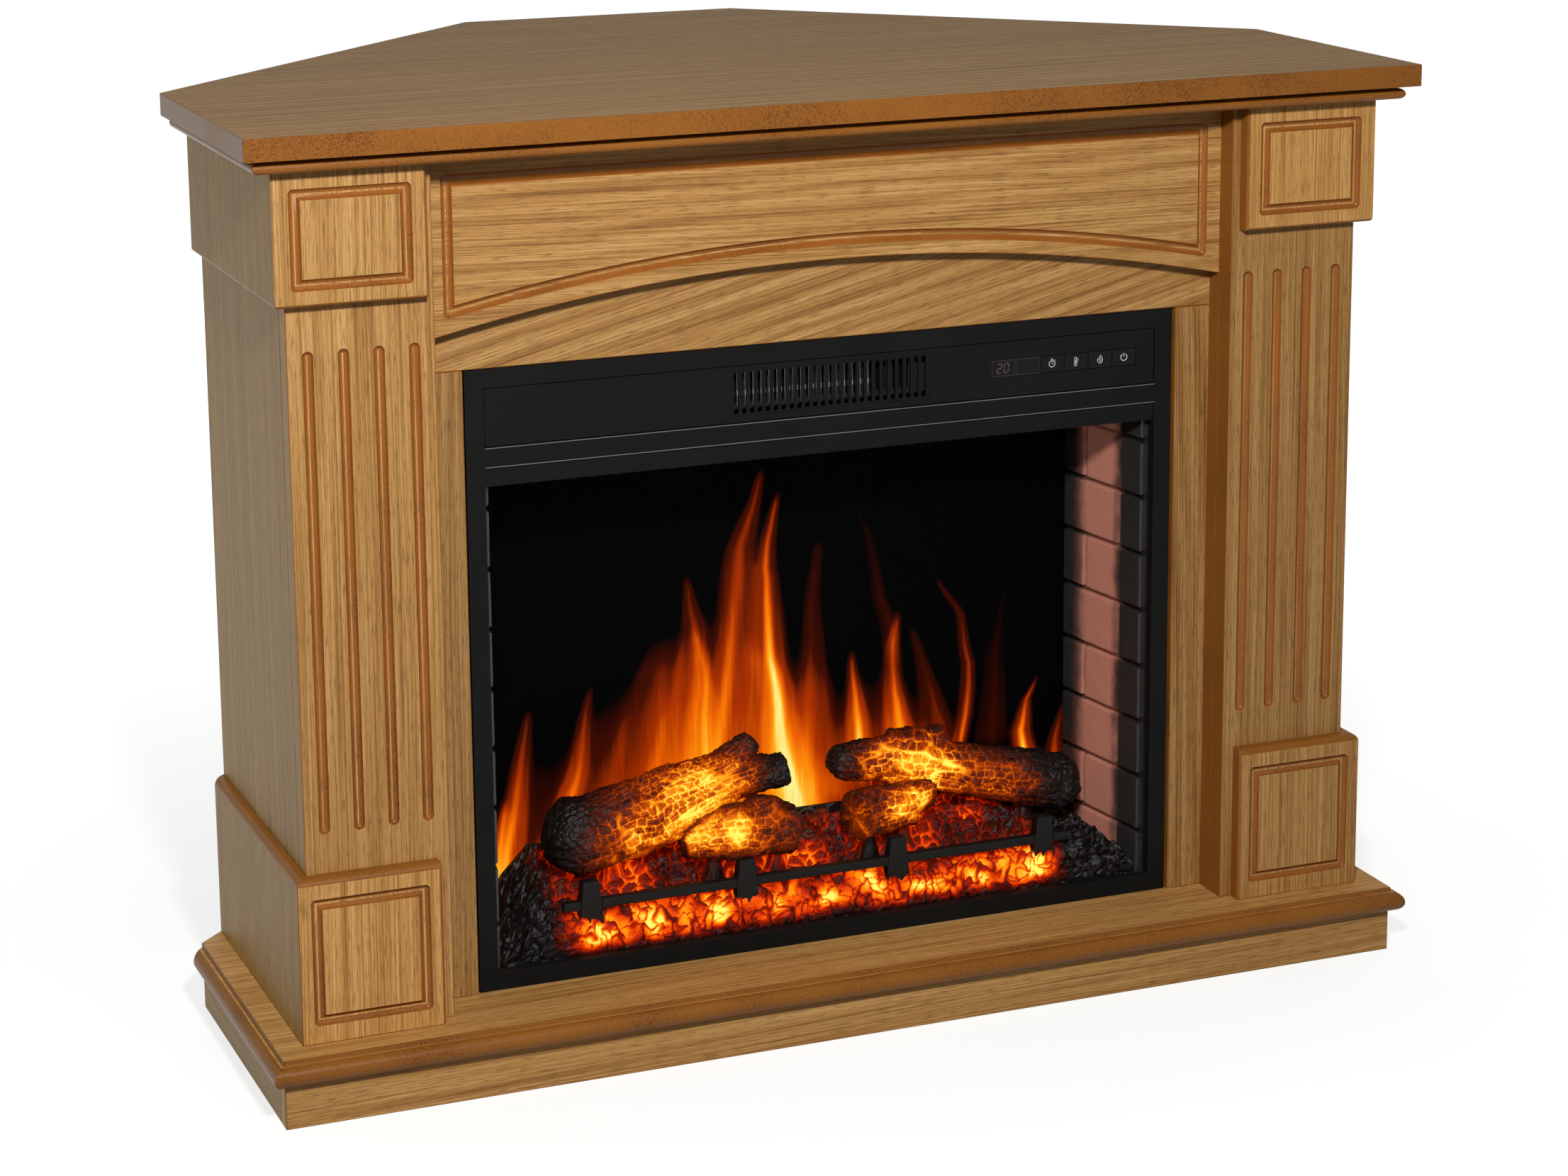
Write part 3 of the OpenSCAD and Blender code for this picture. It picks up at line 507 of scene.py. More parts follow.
def make_embers(name, strength, tones):
    """Cast translucent resin painted as charcoal and lit from inside: thick painted blocks stay
    black, thin places and cracks burn. Reads the warmth of each point; tones are its colours."""
    look = bpy.context.scene.fire_settings
    tree, shader = surface(name, Emission_Strength=strength)
    heat = add(tree, "ShaderNodeAttribute", attribute_name="warmth").outputs["Fac"]
    # Burning places are matt: the light comes through them.
    gloss = add(tree, "ShaderNodeMapRange", {
        "Value": heat, "From Max": 0.35, "To Min": 0.26, "To Max": 0.04})
    tree.links.new(gloss.outputs[0], shader.inputs["Specular IOR Level"])
    place = add(tree, "ShaderNodeTexCoord").outputs["Object"]
    # Ash dust of about 1.5 mm on the painted blocks.
    dust = add(tree, "ShaderNodeTexNoise", {
        "Vector": place, "Scale": 650.0, "Detail": 4.0, "Roughness": 0.65}).outputs["Fac"]
    uneven = add(tree, "ShaderNodeMapRange", {
        "Value": dust, "From Min": 0.3, "From Max": 0.7, "To Min": -0.09, "To Max": 0.09})
    hot = add(tree, "ShaderNodeMath", {
        0: heat, 1: uneven.outputs[0]}, operation="ADD").outputs[0]
    skin = add(tree, "ShaderNodeValToRGB", {"Fac": dust}, stops=[
        (0.35, paint("#070606")), (0.6, look.char_tone), (0.8, paint("#211C1C"))])
    warm = add(tree, "ShaderNodeMix", {
        "Factor": hot, COLOUR_A: skin.outputs[0], COLOUR_B: paint("#3A1404")}, data_type="RGBA")
    fire = add(tree, "ShaderNodeValToRGB", {"Fac": hot}, stops=[
        (0.1 + 0.18 * k, paint(code)) for k, code in enumerate(tones)])
    tree.links.new(fire.outputs[0], shader.inputs["Emission Color"])
    finish(tree, shader, warm.outputs["Result"], dull=dust, rough=(0.3, 0.6),
           relief=dust, strength=0.5, height=0.6)


def make_flame_picture(name, strength):
    """Smoked acrylic screen with light thrown on it from behind: black where no flame is."""
    tree, shader = surface(name, Base_Color=paint("#020202"), Roughness=0.6,
                           Specular_IOR_Level=0.02, Emission_Strength=strength)
    heat = add(tree, "ShaderNodeAttribute", attribute_name="warmth").outputs["Fac"]
    place = add(tree, "ShaderNodeTexCoord").outputs["Object"]
    # Fine upward streaks, 3 mm wide and 50 mm long, in the projected light.
    upright = add(tree, "ShaderNodeMapping", {"Vector": place, "Scale": (300, 1, 20)})
    streak = add(tree, "ShaderNodeTexNoise", {
        "Vector": upright.outputs[0], "Scale": 1.0, "Detail": 2.0})
    soft = add(tree, "ShaderNodeMapRange", {
        "Value": streak.outputs["Fac"], "From Min": 0.3, "From Max": 0.7, "To Min": 0.93,
        "To Max": 1.05})
    lit = add(tree, "ShaderNodeMath", {0: heat, 1: soft.outputs[0]}, operation="MULTIPLY")
    fire = add(tree, "ShaderNodeValToRGB", {"Fac": lit.outputs[0]}, stops=[
        (spot, paint(code)) for spot, code in FLAME_TONES])
    tree.links.new(fire.outputs[0], shader.inputs["Emission Color"])


def make_brick(name, shade):
    """Moulded resin brickwork: a smooth pinkish face in one upright band of painted light, the
    fire's light on it, and painted shade, near black, elsewhere. shade is how light it is; below 1
    it makes the darker copy that paints the shade in the joints."""
    look = bpy.context.scene.fire_settings
    tree, shader = surface(name, Specular_IOR_Level=0.5)
    place = add(tree, "ShaderNodeTexCoord").outputs["Object"]
    depth = add(tree, "ShaderNodeSeparateXYZ", {"Vector": place}).outputs["Y"]
    wave = add(tree, "ShaderNodeTexNoise", {"Vector": place, "Scale": 60.0, "Detail": 3.0})
    sway = add(tree, "ShaderNodeMapRange", {
        "Value": wave.outputs["Fac"], "To Min": -6 * MM, "To Max": 6 * MM})
    y = add(tree, "ShaderNodeMath", {0: depth, 1: sway.outputs[0]}, operation="ADD").outputs[0]
    # The band of painted light lies 46 to 134 mm behind the stiles' front and fades most at its
    # back.
    slopes = [add(tree, "ShaderNodeMapRange", {
        "Value": y, "From Min": at(0, dark, 0).y, "From Max": at(0, lit, 0).y},
        interpolation_type="SMOOTHSTEP").outputs[0] for dark, lit in ((46, 66), (134, 104))]
    band = add(tree, "ShaderNodeMath", {
        0: slopes[0], 1: slopes[1]}, operation="MULTIPLY").outputs[0]
    colour = add(tree, "ShaderNodeValToRGB", {"Fac": band}, stops=[
        (0.0, dim(look.unlit_painted_shade_tone, shade)), (0.4, dim(paint("#6A463E"), shade)),
        (1.0, dim(look.painted_lit_brick_tone, shade))]).outputs[0]
    # Painted glow: the lit band gives off a little light of its own, for the fire's light on it.
    warmth = add(tree, "ShaderNodeMath", {0: band, 1: 0.12}, operation="MULTIPLY")
    tree.links.new(colour, shader.inputs["Emission Color"])
    tree.links.new(warmth.outputs[0], shader.inputs["Emission Strength"])
    # Casting grit of about 2 mm.
    grit = add(tree, "ShaderNodeTexNoise", {
        "Vector": place, "Scale": 420.0, "Detail": 4.0, "Roughness": 0.6}).outputs["Fac"]
    finish(tree, shader, colour, dull=grit, rough=(0.36, 0.55),
           relief=grit, strength=0.3, height=0.6)


def make_lamp_paint(name, tone, strength):
    """Thin mark with its own faint light: real for lit figures, a painted glow on printed ink."""
    tree, shader = surface(name, Emission_Strength=strength)
    place = add(tree, "ShaderNodeTexCoord").outputs["Object"]
    ink = add(tree, "ShaderNodeTexNoise", {"Vector": place, "Scale": 2500.0}).outputs["Fac"]
    colour = add(tree, "ShaderNodeValToRGB", {"Fac": ink}, stops=[
        (0.3, dim(paint(tone), 0.85)), (0.7, paint(tone))])
    rough = add(tree, "ShaderNodeMapRange", {"Value": ink, "To Min": 0.5, "To Max": 0.65})
    for socket, source in (
            ("Base Color", colour), ("Emission Color", colour), ("Roughness", rough)):
        tree.links.new(source.outputs[0], shader.inputs[socket])


# ---------- mantel ----------

PLAIN = "oak veneer lacquered"
FIGURED = "oak veneer crown cut lacquered"
EDGE = "fibreboard edge toned lacquer"
GROOVE = "fibreboard routed groove toned lacquer"
RAW = "fibreboard raw"
PINE = "pine sawn"
# Board: direction of the grain, the faces that are veneered, the turn of the grain in degrees,
# the veneer and how light it is: partly its own tone and partly painted light and shade, such as
# the recessed stiles darker and the right capital lighter.
BOARDS = {
    "top_slab": ("X", "top", 1.5, FIGURED, 0.86),
    "frieze_board": ("X", "front", -1.0, FIGURED, 1.06),
    "arch_board": ("X", "front", 14.0, FIGURED, 0.95),
    "left_stile": ("Z", "front", 0.5, PLAIN, 0.77),
    "right_stile": ("Z", "front", -0.8, FIGURED, 0.82),
    "left_pilaster": ("Z", "front left", 0.3, PLAIN, 1.05),
    "right_pilaster": ("Z", "front right", -0.4, PLAIN, 0.88),
    "left_backing_board": ("Z", "", 0.0, PLAIN, 1.0),
    "right_backing_board": ("Z", "", 0.0, PLAIN, 1.0),
    "left_capital_front": ("Z", "front", 0.6, PLAIN, 1.06),
    "right_capital_front": ("Z", "front", -0.5, PLAIN, 1.3),
    "left_capital_side": ("Z", "left right", 0.4, PLAIN, 0.94),
    "right_capital_side": ("Z", "left right", 0.4, PLAIN, 0.94),
    "left_pedestal_front": ("Z", "front", 1.0, PLAIN, 1.33),
    "right_pedestal_front": ("Z", "front", -0.7, PLAIN, 1.06),
    "left_pedestal_side": ("Z", "left right", 0.0, PLAIN, 0.95),
    "right_pedestal_side": ("Z", "left right", 0.0, PLAIN, 0.95),
    "left_side_panel": ("Z", "left right", 0.3, PLAIN, 0.98),
    "right_side_panel": ("Z", "left right", -0.3, PLAIN, 0.98),
    "hearth_shelf": ("X", "top", 0.8, PLAIN, 1.24),
    "plinth_front": ("X", "front left right", 1.2, PLAIN, 1.1),
    "plinth_left": ("Y", "left", 0.0, PLAIN, 0.95),
    "plinth_right": ("Y", "right", 0.0, PLAIN, 0.95),
    "crown_front": ("X", "", 0.0, PLAIN, 1.0),
    "crown_left": ("Y", "", 0.0, PLAIN, 1.0),
    "crown_right": ("Y", "", 0.0, PLAIN, 1.0),
}
GROOVED = ("frieze_board", "pilaster", "capital_front", "pedestal_front")

# Material slots of a board, in the order in which veneer_board gives them.
SHEET, RIM, ROUTED, BARE = range(4)
# Least share of its normal with which a face looks at a side, and least area in square metres of
# an underside that is left bare.
SQUARE_ON = 0.985
BARE_AREA = 2e-4


def facing(normal):
    """Side of the mantel that a face looks at, or an empty word for a slope or curve."""
    for part, sides in zip(normal, (("left", "right"), ("front", "back"), ("under", "top"))):
        if abs(part) > SQUARE_ON:
            return sides[part > 0]
    return ""


def veneer_board(node, grain, faces, turn, cut, tone, seed, look):
    """Board from its CAD node with rounded edges, its veneer on some faces and lacquer on the
    rest. The UV map is in metres along and across the grain, shifted for each board."""
    shape = copy_of(node)
    front = min(v.co.y for v in shape.verts)
    low = min(v.co.z for v in shape.verts)
    high = max(v.co.z for v in shape.verts)
    round_edges(shape, look.edge_round, look.rim_round, tone=RIM)
    shape.normal_update()
    layer = shape.loops.layers.uv.new("grain")
    offset = Vector(np.random.default_rng(seed).uniform(-9, 9, 2))
    spin = Matrix.Rotation(math.radians(turn), 2)
    wanted = faces.split()
    for face in shape.faces:
        side = facing(face.normal)
        rounded = face.material_index == RIM
        backward = face.normal.y > 0.4 and node != "top_slab"
        if side in wanted and not rounded:
            face.material_index = SHEET
        elif backward or side == "under" and not rounded and face.calc_area() > BARE_AREA:
            face.material_index = BARE
        else:
            # A groove lies at least 0.2 mm behind the board's front and 10 mm inside its ends.
            middle = face.calc_center_median()
            inside = (middle.y > front + 0.2 * MM
                      and low + 10 * MM < middle.z < high - 10 * MM)
            grooved = any(word in node for word in GROOVED) and side in ("", "front")
            face.material_index = ROUTED if grooved and (inside or rounded) else RIM
        for loop in face.loops:
            x, y, z = loop.vert.co
            flat = {"X": (x, z if side in ("front", "back", "") else y),
                    "Y": (y, x if side in ("top", "under") else z),
                    "Z": (z, y if side in ("left", "right") else x)}[grain]
            loop[layer].uv = spin @ Vector((flat[1], flat[0])) + offset
    mesh = to_mesh(shape, f"{node}_board")
    store(mesh, "board_tone", np.full(len(mesh.vertices), tone))
    even_normals(new_piece(f"{node}_board", mesh, [cut, EDGE, GROOVE, RAW], ROOT,
                           "veneer" if wanted else "lacquered_mdf", node))


class FIREPLACE_OT_mantel(bpy.types.Operator):
    """Veneer, round and lacquer the boards of the mantel"""
    bl_idname = "fireplace.mantel"
    bl_label = "Mantel boards"

    def execute(self, context):
        look = context.scene.mantel_settings
        make_veneer(PLAIN, 0.08)
        make_veneer(FIGURED, 0.34)
        make_lacquered_board(EDGE, look.edge_tone, "#4C2408", 0.36)
        make_lacquered_board(GROOVE, look.groove_tone, "#542C0E", 0.26)
        make_raw_board(RAW, look.board_tone, "#7E6140")
        for seed, (node, (grain, faces, turn, cut, tone)) in enumerate(BOARDS.items(), 11):
            veneer_board(node, grain, faces, turn, cut, tone, seed, look)
        return {"FINISHED"}


class FIREPLACE_OT_carcass_back(bpy.types.Operator):
    """Finish the boards and rails at the back of the mantel"""
    bl_idname = "fireplace.carcass_back"
    bl_label = "Back of the mantel"

    def execute(self, context):
        look = context.scene.mantel_settings
        make_pine(PINE)
        for node, material, slot in (
                ("rear_panel", RAW, "raw_mdf"), ("plinth_rear", RAW, "raw_mdf"),
                ("left_rear_rail", PINE, "pine"), ("right_rear_rail", PINE, "pine"),
                ("glue_blocks", PINE, "pine")):
            dress(node, f"{node}_board", material, ROOT, slot, look.edge_round)
        return {"FINISHED"}


# ---------- steel and plastic of the fire ----------

COAT = "steel powder coated black"
BLACK_STEEL_AND_SHADE = "steel sheet black and painted shade"
ZINC = "steel zinc coated"
MOTOR = "steel pressed bright"
FINS = "aluminium drawn"
KEYS = "ABS moulded black satin"
GLAND = "nylon moulded black"
SEAL = "foam rubber cord black"
IRON = "iron cast painted black"
FOLD_HIGHLIGHT = "steel folded edge painted highlight"
CIRCUIT = "circuit board green"
GLASS = "glass toughened clear"

# Node: its material, edge rounding in millimetres, body and slot.
HARDWARE = {
    "trim_frame": (COAT, 0.5, ROOT, "black_steel"),
    "control_fascia": (COAT, 0.3, ROOT, "black_steel"),
    "air_grille": (COAT, 0.2, ROOT, "black_steel"),
    "fire_case": (BLACK_STEEL_AND_SHADE, 0.4, ROOT, "black_steel"),
    "fixing_brackets": (ZINC, 0.3, ROOT, "zinc_steel"),
    "rear_cover": (ZINC, 0.3, ROOT, "zinc_steel"),
    # The heater's duct and element are black: painted shade that keeps the grille's slots dark.
    "heater_duct": (BLACK_STEEL_AND_SHADE, 0.3, ROOT, "black_steel"),
    "heater_element": (BLACK_STEEL_AND_SHADE, 0.2, ROOT, "aluminium_fins"),
    "blower_wheel": (FINS, 0.2, "blower_wheel", "steel_parts"),
    "blower_motor": (MOTOR, 0.8, ROOT, "steel_parts"),
    "rotor_motor": (MOTOR, 0.6, ROOT, "steel_parts"),
    "flame_rotor": (FINS, 0.1, "flame_rotor", "bright_tabs"),
    "circuit_board": (CIRCUIT, 0.1, ROOT, "circuit"),
    "display_window": (KEYS, 0.45, ROOT, "key_plastic"),
    "timer_button": (KEYS, 0.45, "timer_button", "key_plastic"),
    "heat_button": (KEYS, 0.45, "heat_button", "key_plastic"),
    "flame_button": (KEYS, 0.45, "flame_button", "key_plastic"),
    "power_button": (KEYS, 0.45, "power_button", "key_plastic"),
    "cord_inlet": (GLAND, 0.5, ROOT, "black_plastic"),
    "fire_grate": (IRON, 1.2, ROOT, "ember_resin"),
}

# Coated or moulded finish: its tone, the grain of its peel in millimetres, roughness and gloss.
COATED = {
    # Black sheet steel; on the heater and on the screw crosses the black is painted shade.
    BLACK_STEEL_AND_SHADE: ("#1B1B1C", 0.8, 0.5, 0.25),
    KEYS: ("#0C0C0E", 0.6, 0.4, 0.14),
    GLAND: ("#161616", 0.9, 0.5, 0.25),
    IRON: ("#121110", 1.4, 0.5, 0.2),
    SEAL: ("#0F0F0F", 1.2, 0.85, 0.05),
    # The folds' pale grey is a painted highlight; the rods' gloss adds real ones.
    FOLD_HIGHLIGHT: ("#66666A", 0.8, 0.3, 0.5),
}


class FIREPLACE_OT_hardware(bpy.types.Operator):
    """Finish the steel, plastic and metal parts of the fire"""
    bl_idname = "fireplace.hardware"
    bl_label = "Steel and plastic parts"

    def execute(self, context):
        make_coated(COAT, context.scene.fire_settings.steel_tone, 0.5, 0.5, 0.08)
        for name, (tone, grit, rough, gloss) in COATED.items():
            make_coated(name, paint(tone), grit, rough, gloss)
        make_zinc(ZINC)
        make_bare_metal(MOTOR, "#9A9A98", 0.34)
        make_bare_metal(FINS, "#C9CACB", 0.3)
        make_circuit(CIRCUIT)
        for node, (material, size, body, slot) in HARDWARE.items():
            dress(node, f"{node}_finish", material, body, slot, size * MM, large=STEEL_FACE)
        return {"FINISHED"}


# ---------- marks on the keys ----------

# Front of the keys, and how far the ink stands out from it in millimetres.
KEY_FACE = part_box("power_button")[0].y
INK = 0.08


def ribbon(shape, points, width, centre, closed):
    """Raised line of ink through points in millimetres round the centre, on the keys' face."""
    count = len(points)
    rings = []
    for i in range(count):
        before = Vector(points[i - 1] if i or closed else points[0])
        after = Vector(points[(i + 1) % count] if i < count - 1 or closed else points[-1])
        run = (after - before).normalized()
        across = Vector((-run.y, run.x)) * width / 2
        here = Vector(points[i])
        rings.append([
            shape.verts.new((
                centre[0] + side.x * MM, KEY_FACE + depth * MM, centre[1] + side.y * MM))
            for side, depth in ((here + across, -INK), (here - across, -INK),
                                (here - across, 0), (here + across, 0))])
    for i in range(count if closed else count - 1):
        a = rings[i]
        b = rings[(i + 1) % count]
        for k in range(4):
            shape.faces.new((a[k], a[(k + 1) % 4], b[(k + 1) % 4], b[k]))
    if not closed:
        shape.faces.new(rings[0])
        shape.faces.new(reversed(rings[-1]))


def arc(radius, start, end, steps=28, middle=(0, 0)):
    """Points of an arc in degrees."""
    return [(middle[0] + radius * math.cos(math.radians(start + (end - start) * i / steps)),
             middle[1] + radius * math.sin(math.radians(start + (end - start) * i / steps)))
            for i in range(steps + 1)]


# Segments of a figure, from (x, z) to (x, z) in a cell one wide and two high.
SEGMENTS = {"a": ((0, 2), (1, 2)), "b": ((1, 2), (1, 1)), "c": ((1, 1), (1, 0)),
            "d": ((0, 0), (1, 0)), "e": ((0, 0), (0, 1)), "f": ((0, 1), (0, 2)),
            "g": ((0, 1), (1, 1))}
# The lit segments of both figures; in millimetres, the width of a figure, how far apart the two
# stand and where the first begins; and how much they lean.
FIGURES = ("abged", "abcdef")
FIGURE_SIZE = 4.4
FIGURE_PITCH = 7.2
FIGURES_FROM = -7.0
SLANT = 0.12


def figure_strokes():
    """Strokes of the two seven-segment figures, cut short by a tenth at each end."""
    strokes = []
    for k, lit in enumerate(FIGURES):
        for name in lit:
            a, b = (Vector(end) for end in SEGMENTS[name])
            ends = (a + 0.1 * (b - a), b - 0.1 * (b - a))
            strokes.append((1.2, False, [
                ((p.x + SLANT * p.y) * FIGURE_SIZE + k * FIGURE_PITCH + FIGURES_FROM,
                 (p.y - 1) * FIGURE_SIZE) for p in ends]))
    return strokes


PALE_INK = "ink printed pale grey with painted glow"
DARK_INK = "ink printed dark grey with painted glow"
RED_INK = "figures lit dim red"

# Mark: the node that it is on, its ink, and its strokes as width, whether the line closes, and
# points in millimetres from the key's middle, or from that of the window's left cell.
MARKS = {
    # Stop watch: a ring with a crown on a neck, a hand and a side knob.
    "timer_sign": ("timer_button", PALE_INK, (
        (0.6, True, arc(3.1, 0, 360)[:-1]),
        (0.7, False, [(-1.1, 4.5), (1.1, 4.5)]),
        (0.6, False, [(0, 3.4), (0, 4.4)]),
        (0.5, False, [(0, 1.9), (0, 0), (1.3, 0)]),
        (0.6, False, [(2.6, 2.9), (3.3, 3.6)]))),
    # Thermometer: a bulb under a stem, with marks beside it.
    "heat_sign": ("heat_button", PALE_INK, (
        (0.5, False, arc(1.5, 128, 412, middle=(-0.6, -2.6))),
        (0.5, False, [(-1.5, -1.3), (-1.5, 3.4)]),
        (0.5, False, [(0.3, -1.3), (0.3, 3.4)]),
        (0.5, False, arc(0.9, 0, 180, 10, middle=(-0.6, 3.4))),
        (0.6, False, [(-0.6, -2.6), (-0.6, 1.4)]),
        *((0.45, False, [(1.3, z), (2.5, z)]) for z in (0.2, 1.6, 3.0)))),
    # Flame: an outline with a smaller tongue inside.
    "flame_sign": ("flame_button", PALE_INK, (
        (0.55, True, [(0.4, 4.3), (1.3, 2.4), (2.5, 0.6), (2.5, -1.6), (1.4, -3.3), (-0.6, -3.7),
                      (-2.3, -2.5), (-2.7, -0.5), (-1.9, 1.0), (-1.2, 0.2), (-0.5, 2.0)]),
        (0.5, True, [(0.2, 0.9), (-0.6, -0.9), (0.1, -2.3), (1.0, -1.2)]))),
    # Power sign: an open ring and a bar.
    "power_sign": ("power_button", PALE_INK, (
        (0.65, False, arc(3.3, 122, 418)),
        (0.65, False, [(0, 0.6), (0, 4.2)]))),
    "display_figures": ("display_window", RED_INK, figure_strokes()),
    # Outlines of the window's two cells.
    "display_cells": ("display_window", DARK_INK, [
        (0.35, True, [(x + 12 * a, 7.4 * b) for a, b in ((-1, -1), (1, -1), (1, 1), (-1, 1))])
        for x in (0, 25.6)]),
}


class FIREPLACE_OT_key_marks(bpy.types.Operator):
    """Print the signs on the keys and light the two figures in the window"""
    bl_idname = "fireplace.key_marks"
    bl_label = "Signs on the keys"

    def execute(self, context):
        # The printed inks glow faintly, painted light; the red figures are lit.
        make_lamp_paint(PALE_INK, "#C4C6C8", 0.25)
        make_lamp_paint(RED_INK, "#43302C", 0.1)
        make_lamp_paint(DARK_INK, "#3A3A3C", 0.1)
        for name, (node, ink, strokes) in MARKS.items():
            low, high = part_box(node)
            middle = (low + high) / 2
            body = node
            if node == "display_window":
                middle.x = low.x + (high.x - low.x) / 4
                body = ROOT
            shape = bmesh.new()
            for width, closed, points in strokes:
                ribbon(shape, points, width, (middle.x, middle.z), closed)
            bmesh.ops.recalc_face_normals(shape, faces=shape.faces)
            new_piece(name, to_mesh(shape, name), [ink], body, "key_plastic")
        return {"FINISHED"}


# ---------- flame picture ----------

SMOKED = "acrylic smoked with flame light"

# Flames in millimetres: z of foot and tip; x of the spine and half width at five heights from foot
# to tip; strength; place of the bright thread across the flame, from -1 to 1, and its strength.
FLAMES = (
    ((60, 290), (-296, -284, -271, -260, -251), (22, 18, 14, 9, 3), 0.9, -0.3, 0.6),
    ((50, 200), (-306, -298, -290, -283, -277), (17, 15, 12, 8, 3), 1.0, 0.0, 0.9),
    ((80, 270), (-262, -254, -246, -238, -232), (38, 34, 30, 24, 16), 0.34, 0.0, 0.05),
    ((110, 305), (-246, -230, -212, -200, -191), (18, 15, 11, 7, 2), 0.76, 0.3, 0.6),
    ((120, 310), (-222, -206, -192, -178, -166), (34, 32, 28, 22, 14), 0.42, 0.4, 0.1),
    ((130, 360), (-158, -148, -136, -122, -108), (50, 45, 35, 24, 12), 0.8, 0.6, 0.2),
    ((140, 405), (-112, -106, -94, -84, -90), (36, 32, 23, 12, 2.5), 0.88, 0.55, 0.5),
    ((150, 350), (-84, -82, -78, -78, -84), (13, 13, 10, 7, 2), 0.85, 0.4, 0.85),
    ((140, 505), (-38, -52, -45, -33, -14), (30, 29, 23, 14, 3), 0.9, -0.5, 0.55),
    ((130, 480), (26, 12, -6, -9, 5), (24, 22, 17, 11, 3), 0.98, -0.15, 1.3),
    ((110, 320), (24, 14, 4, -3, -6), (30, 26, 19, 12, 8), 0.9, -0.1, 0.7),
    ((130, 340), (-4, -10, -20, -26, -30), (42, 34, 24, 15, 6), 0.58, 0.1, 0.2),
    ((130, 320), (46, 44, 40, 38, 38), (38, 34, 29, 23, 13), 0.52, -0.3, 0.15),
    ((150, 430), (44, 42, 40, 41, 47), (24, 20, 15, 9, 3), 0.5, -0.5, 0.35),
    ((140, 300), (116, 114, 112, 110, 108), (58, 52, 44, 34, 18), 0.6, 0.0, 0.05),
    ((170, 310), (92, 90, 88, 87, 86), (15, 14, 11, 7, 3), 0.9, 0.0, 0.95),
    ((170, 345), (138, 134, 128, 128, 138), (18, 16, 12, 8, 3), 0.84, 0.3, 0.75),
    ((180, 330), (174, 174, 170, 160, 150), (20, 18, 12, 7, 3), 0.5, 0.4, 0.3),
    ((290, 462), (128, 122, 110, 95, 76), (10, 10, 9, 7, 3), 0.3, 0.3, 0.25),
    ((180, 375), (196, 206, 212, 202, 176), (8, 8, 7, 5, 2), 0.64, 0.2, 0.6),
    ((180, 362), (232, 236, 238, 244, 254), (18, 16, 12, 7, 3), 0.3, 0.2, 0.15),
    ((140, 258), (284, 274, 268, 272, 288), (16, 14, 11, 6, 2), 0.95, -0.1, 1.0),
    ((140, 232), (304, 304, 306, 312, 318), (14, 12, 8, 5, 3), 0.65, 0.0, 0.4),
)
# Colours of the flame picture, from no light to the brightest, and where each stands.
FLAME_TONES = ((0.04, "#000000"), (0.22, "#420C00"), (0.42, "#AA3200"), (0.6, "#EE6402"),
               (0.76, "#FF920C"), (0.89, "#FFC235"), (1.0, "#FFF08C"))
# Width and height of one face of the picture, which is as fine as its streaks need.
PICTURE_STEP = 1.9 * MM


def flame_heat(x, z):
    """Heat of the picture at points in millimetres, 0 where dark and about 1 where brightest."""
    sway = 5 * drift(x / 90, z / 70, 1) + 2.2 * drift(x / 30, z / 36, 2)
    ragged = drift(x / 11, z / 90, 3)
    fine = drift(x / 3.6, z / 44, 4)
    dark = np.ones_like(x)
    # The five places along a spine lie a little closer at its ends.
    evenly = np.linspace(0, 1, 5)
    places = 0.25 * step_up(0, 1, evenly) + 0.75 * evenly
    for (foot, tip), spine, widths, power, lean, thread in FLAMES:
        t = np.clip((z - foot) / (tip - foot), 0, 1)
        off = x + sway * (0.25 + t) - np.interp(t, places, spine)
        d = off / np.interp(t, places, widths)
        body = bell(d, 1)
        edge = 0.16 * bell(np.abs(d) - 0.82, 0.25)
        core = bell(d - lean * (1 - t), 0.3) * (1 - 0.8 * t)
        above = 1 - step_up(tip - 6 - 4 * widths[-1], tip + 4, z)
        below = step_up(foot - 14, foot + 24, z)
        fade = below * above * (1 - 0.55 * t)
        one = power * fade * (0.58 * body + edge + thread * core)
        one = one * (0.96 + 0.06 * ragged + 0.03 * fine)
        dark = dark * (1 - np.clip(one, 0, 0.99))
    return np.clip((1 - dark) * 1.04 - 0.04, 0, 1.08)


class FIREPLACE_OT_flame_picture(bpy.types.Operator):
    """Make the screen with its picture of flames"""
    bl_idname = "fireplace.flame_picture"
    bl_label = "Flame picture"

    def execute(self, context):
        make_flame_picture(SMOKED, context.scene.fire_settings.flame)
        low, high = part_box("flame_screen")
        xs = np.linspace(low.x, high.x, round((high.x - low.x) / PICTURE_STEP) + 1)
        zs = np.linspace(low.z, high.z, round((high.z - low.z) / PICTURE_STEP) + 1)
        grid_x, grid_z = np.meshgrid(xs, zs)
        shape = skin_over([(x, low.y, z) for x, z in zip(grid_x.flat, grid_z.flat)], len(xs))
        close_skin(shape, 1, high.y)
        made = to_mesh(shape, "flame_picture")
        store(made, "warmth", flame_heat(grid_x / MM, grid_z / MM).ravel())
        new_piece("flame_picture", made, [SMOKED], ROOT, "smoked_acrylic", "flame_screen")
        return {"FINISHED"}


# ---------- logs ----------

LOG_RESIN = "resin cast charred log lit inside"
BED_RESIN = "resin cast ember bed lit inside"
LOG_TONES = ("#000000", "#581600", "#A83C02", "#E87406", "#FFAE1A", "#FFEA5E")
BED_TONES = ("#000000", "#560800", "#B42000", "#F05402", "#FFA010", "#FFEC64")
# Size of the voxels that melt a log's bars together, of a charred block along and round the log,
# and the depth of the cracks between blocks, in millimetres.
LOG_VOXEL = 1.05
BLOCK_LONG = 10
BLOCK_WIDE = 7
CRACK_DEPTH = 1.7


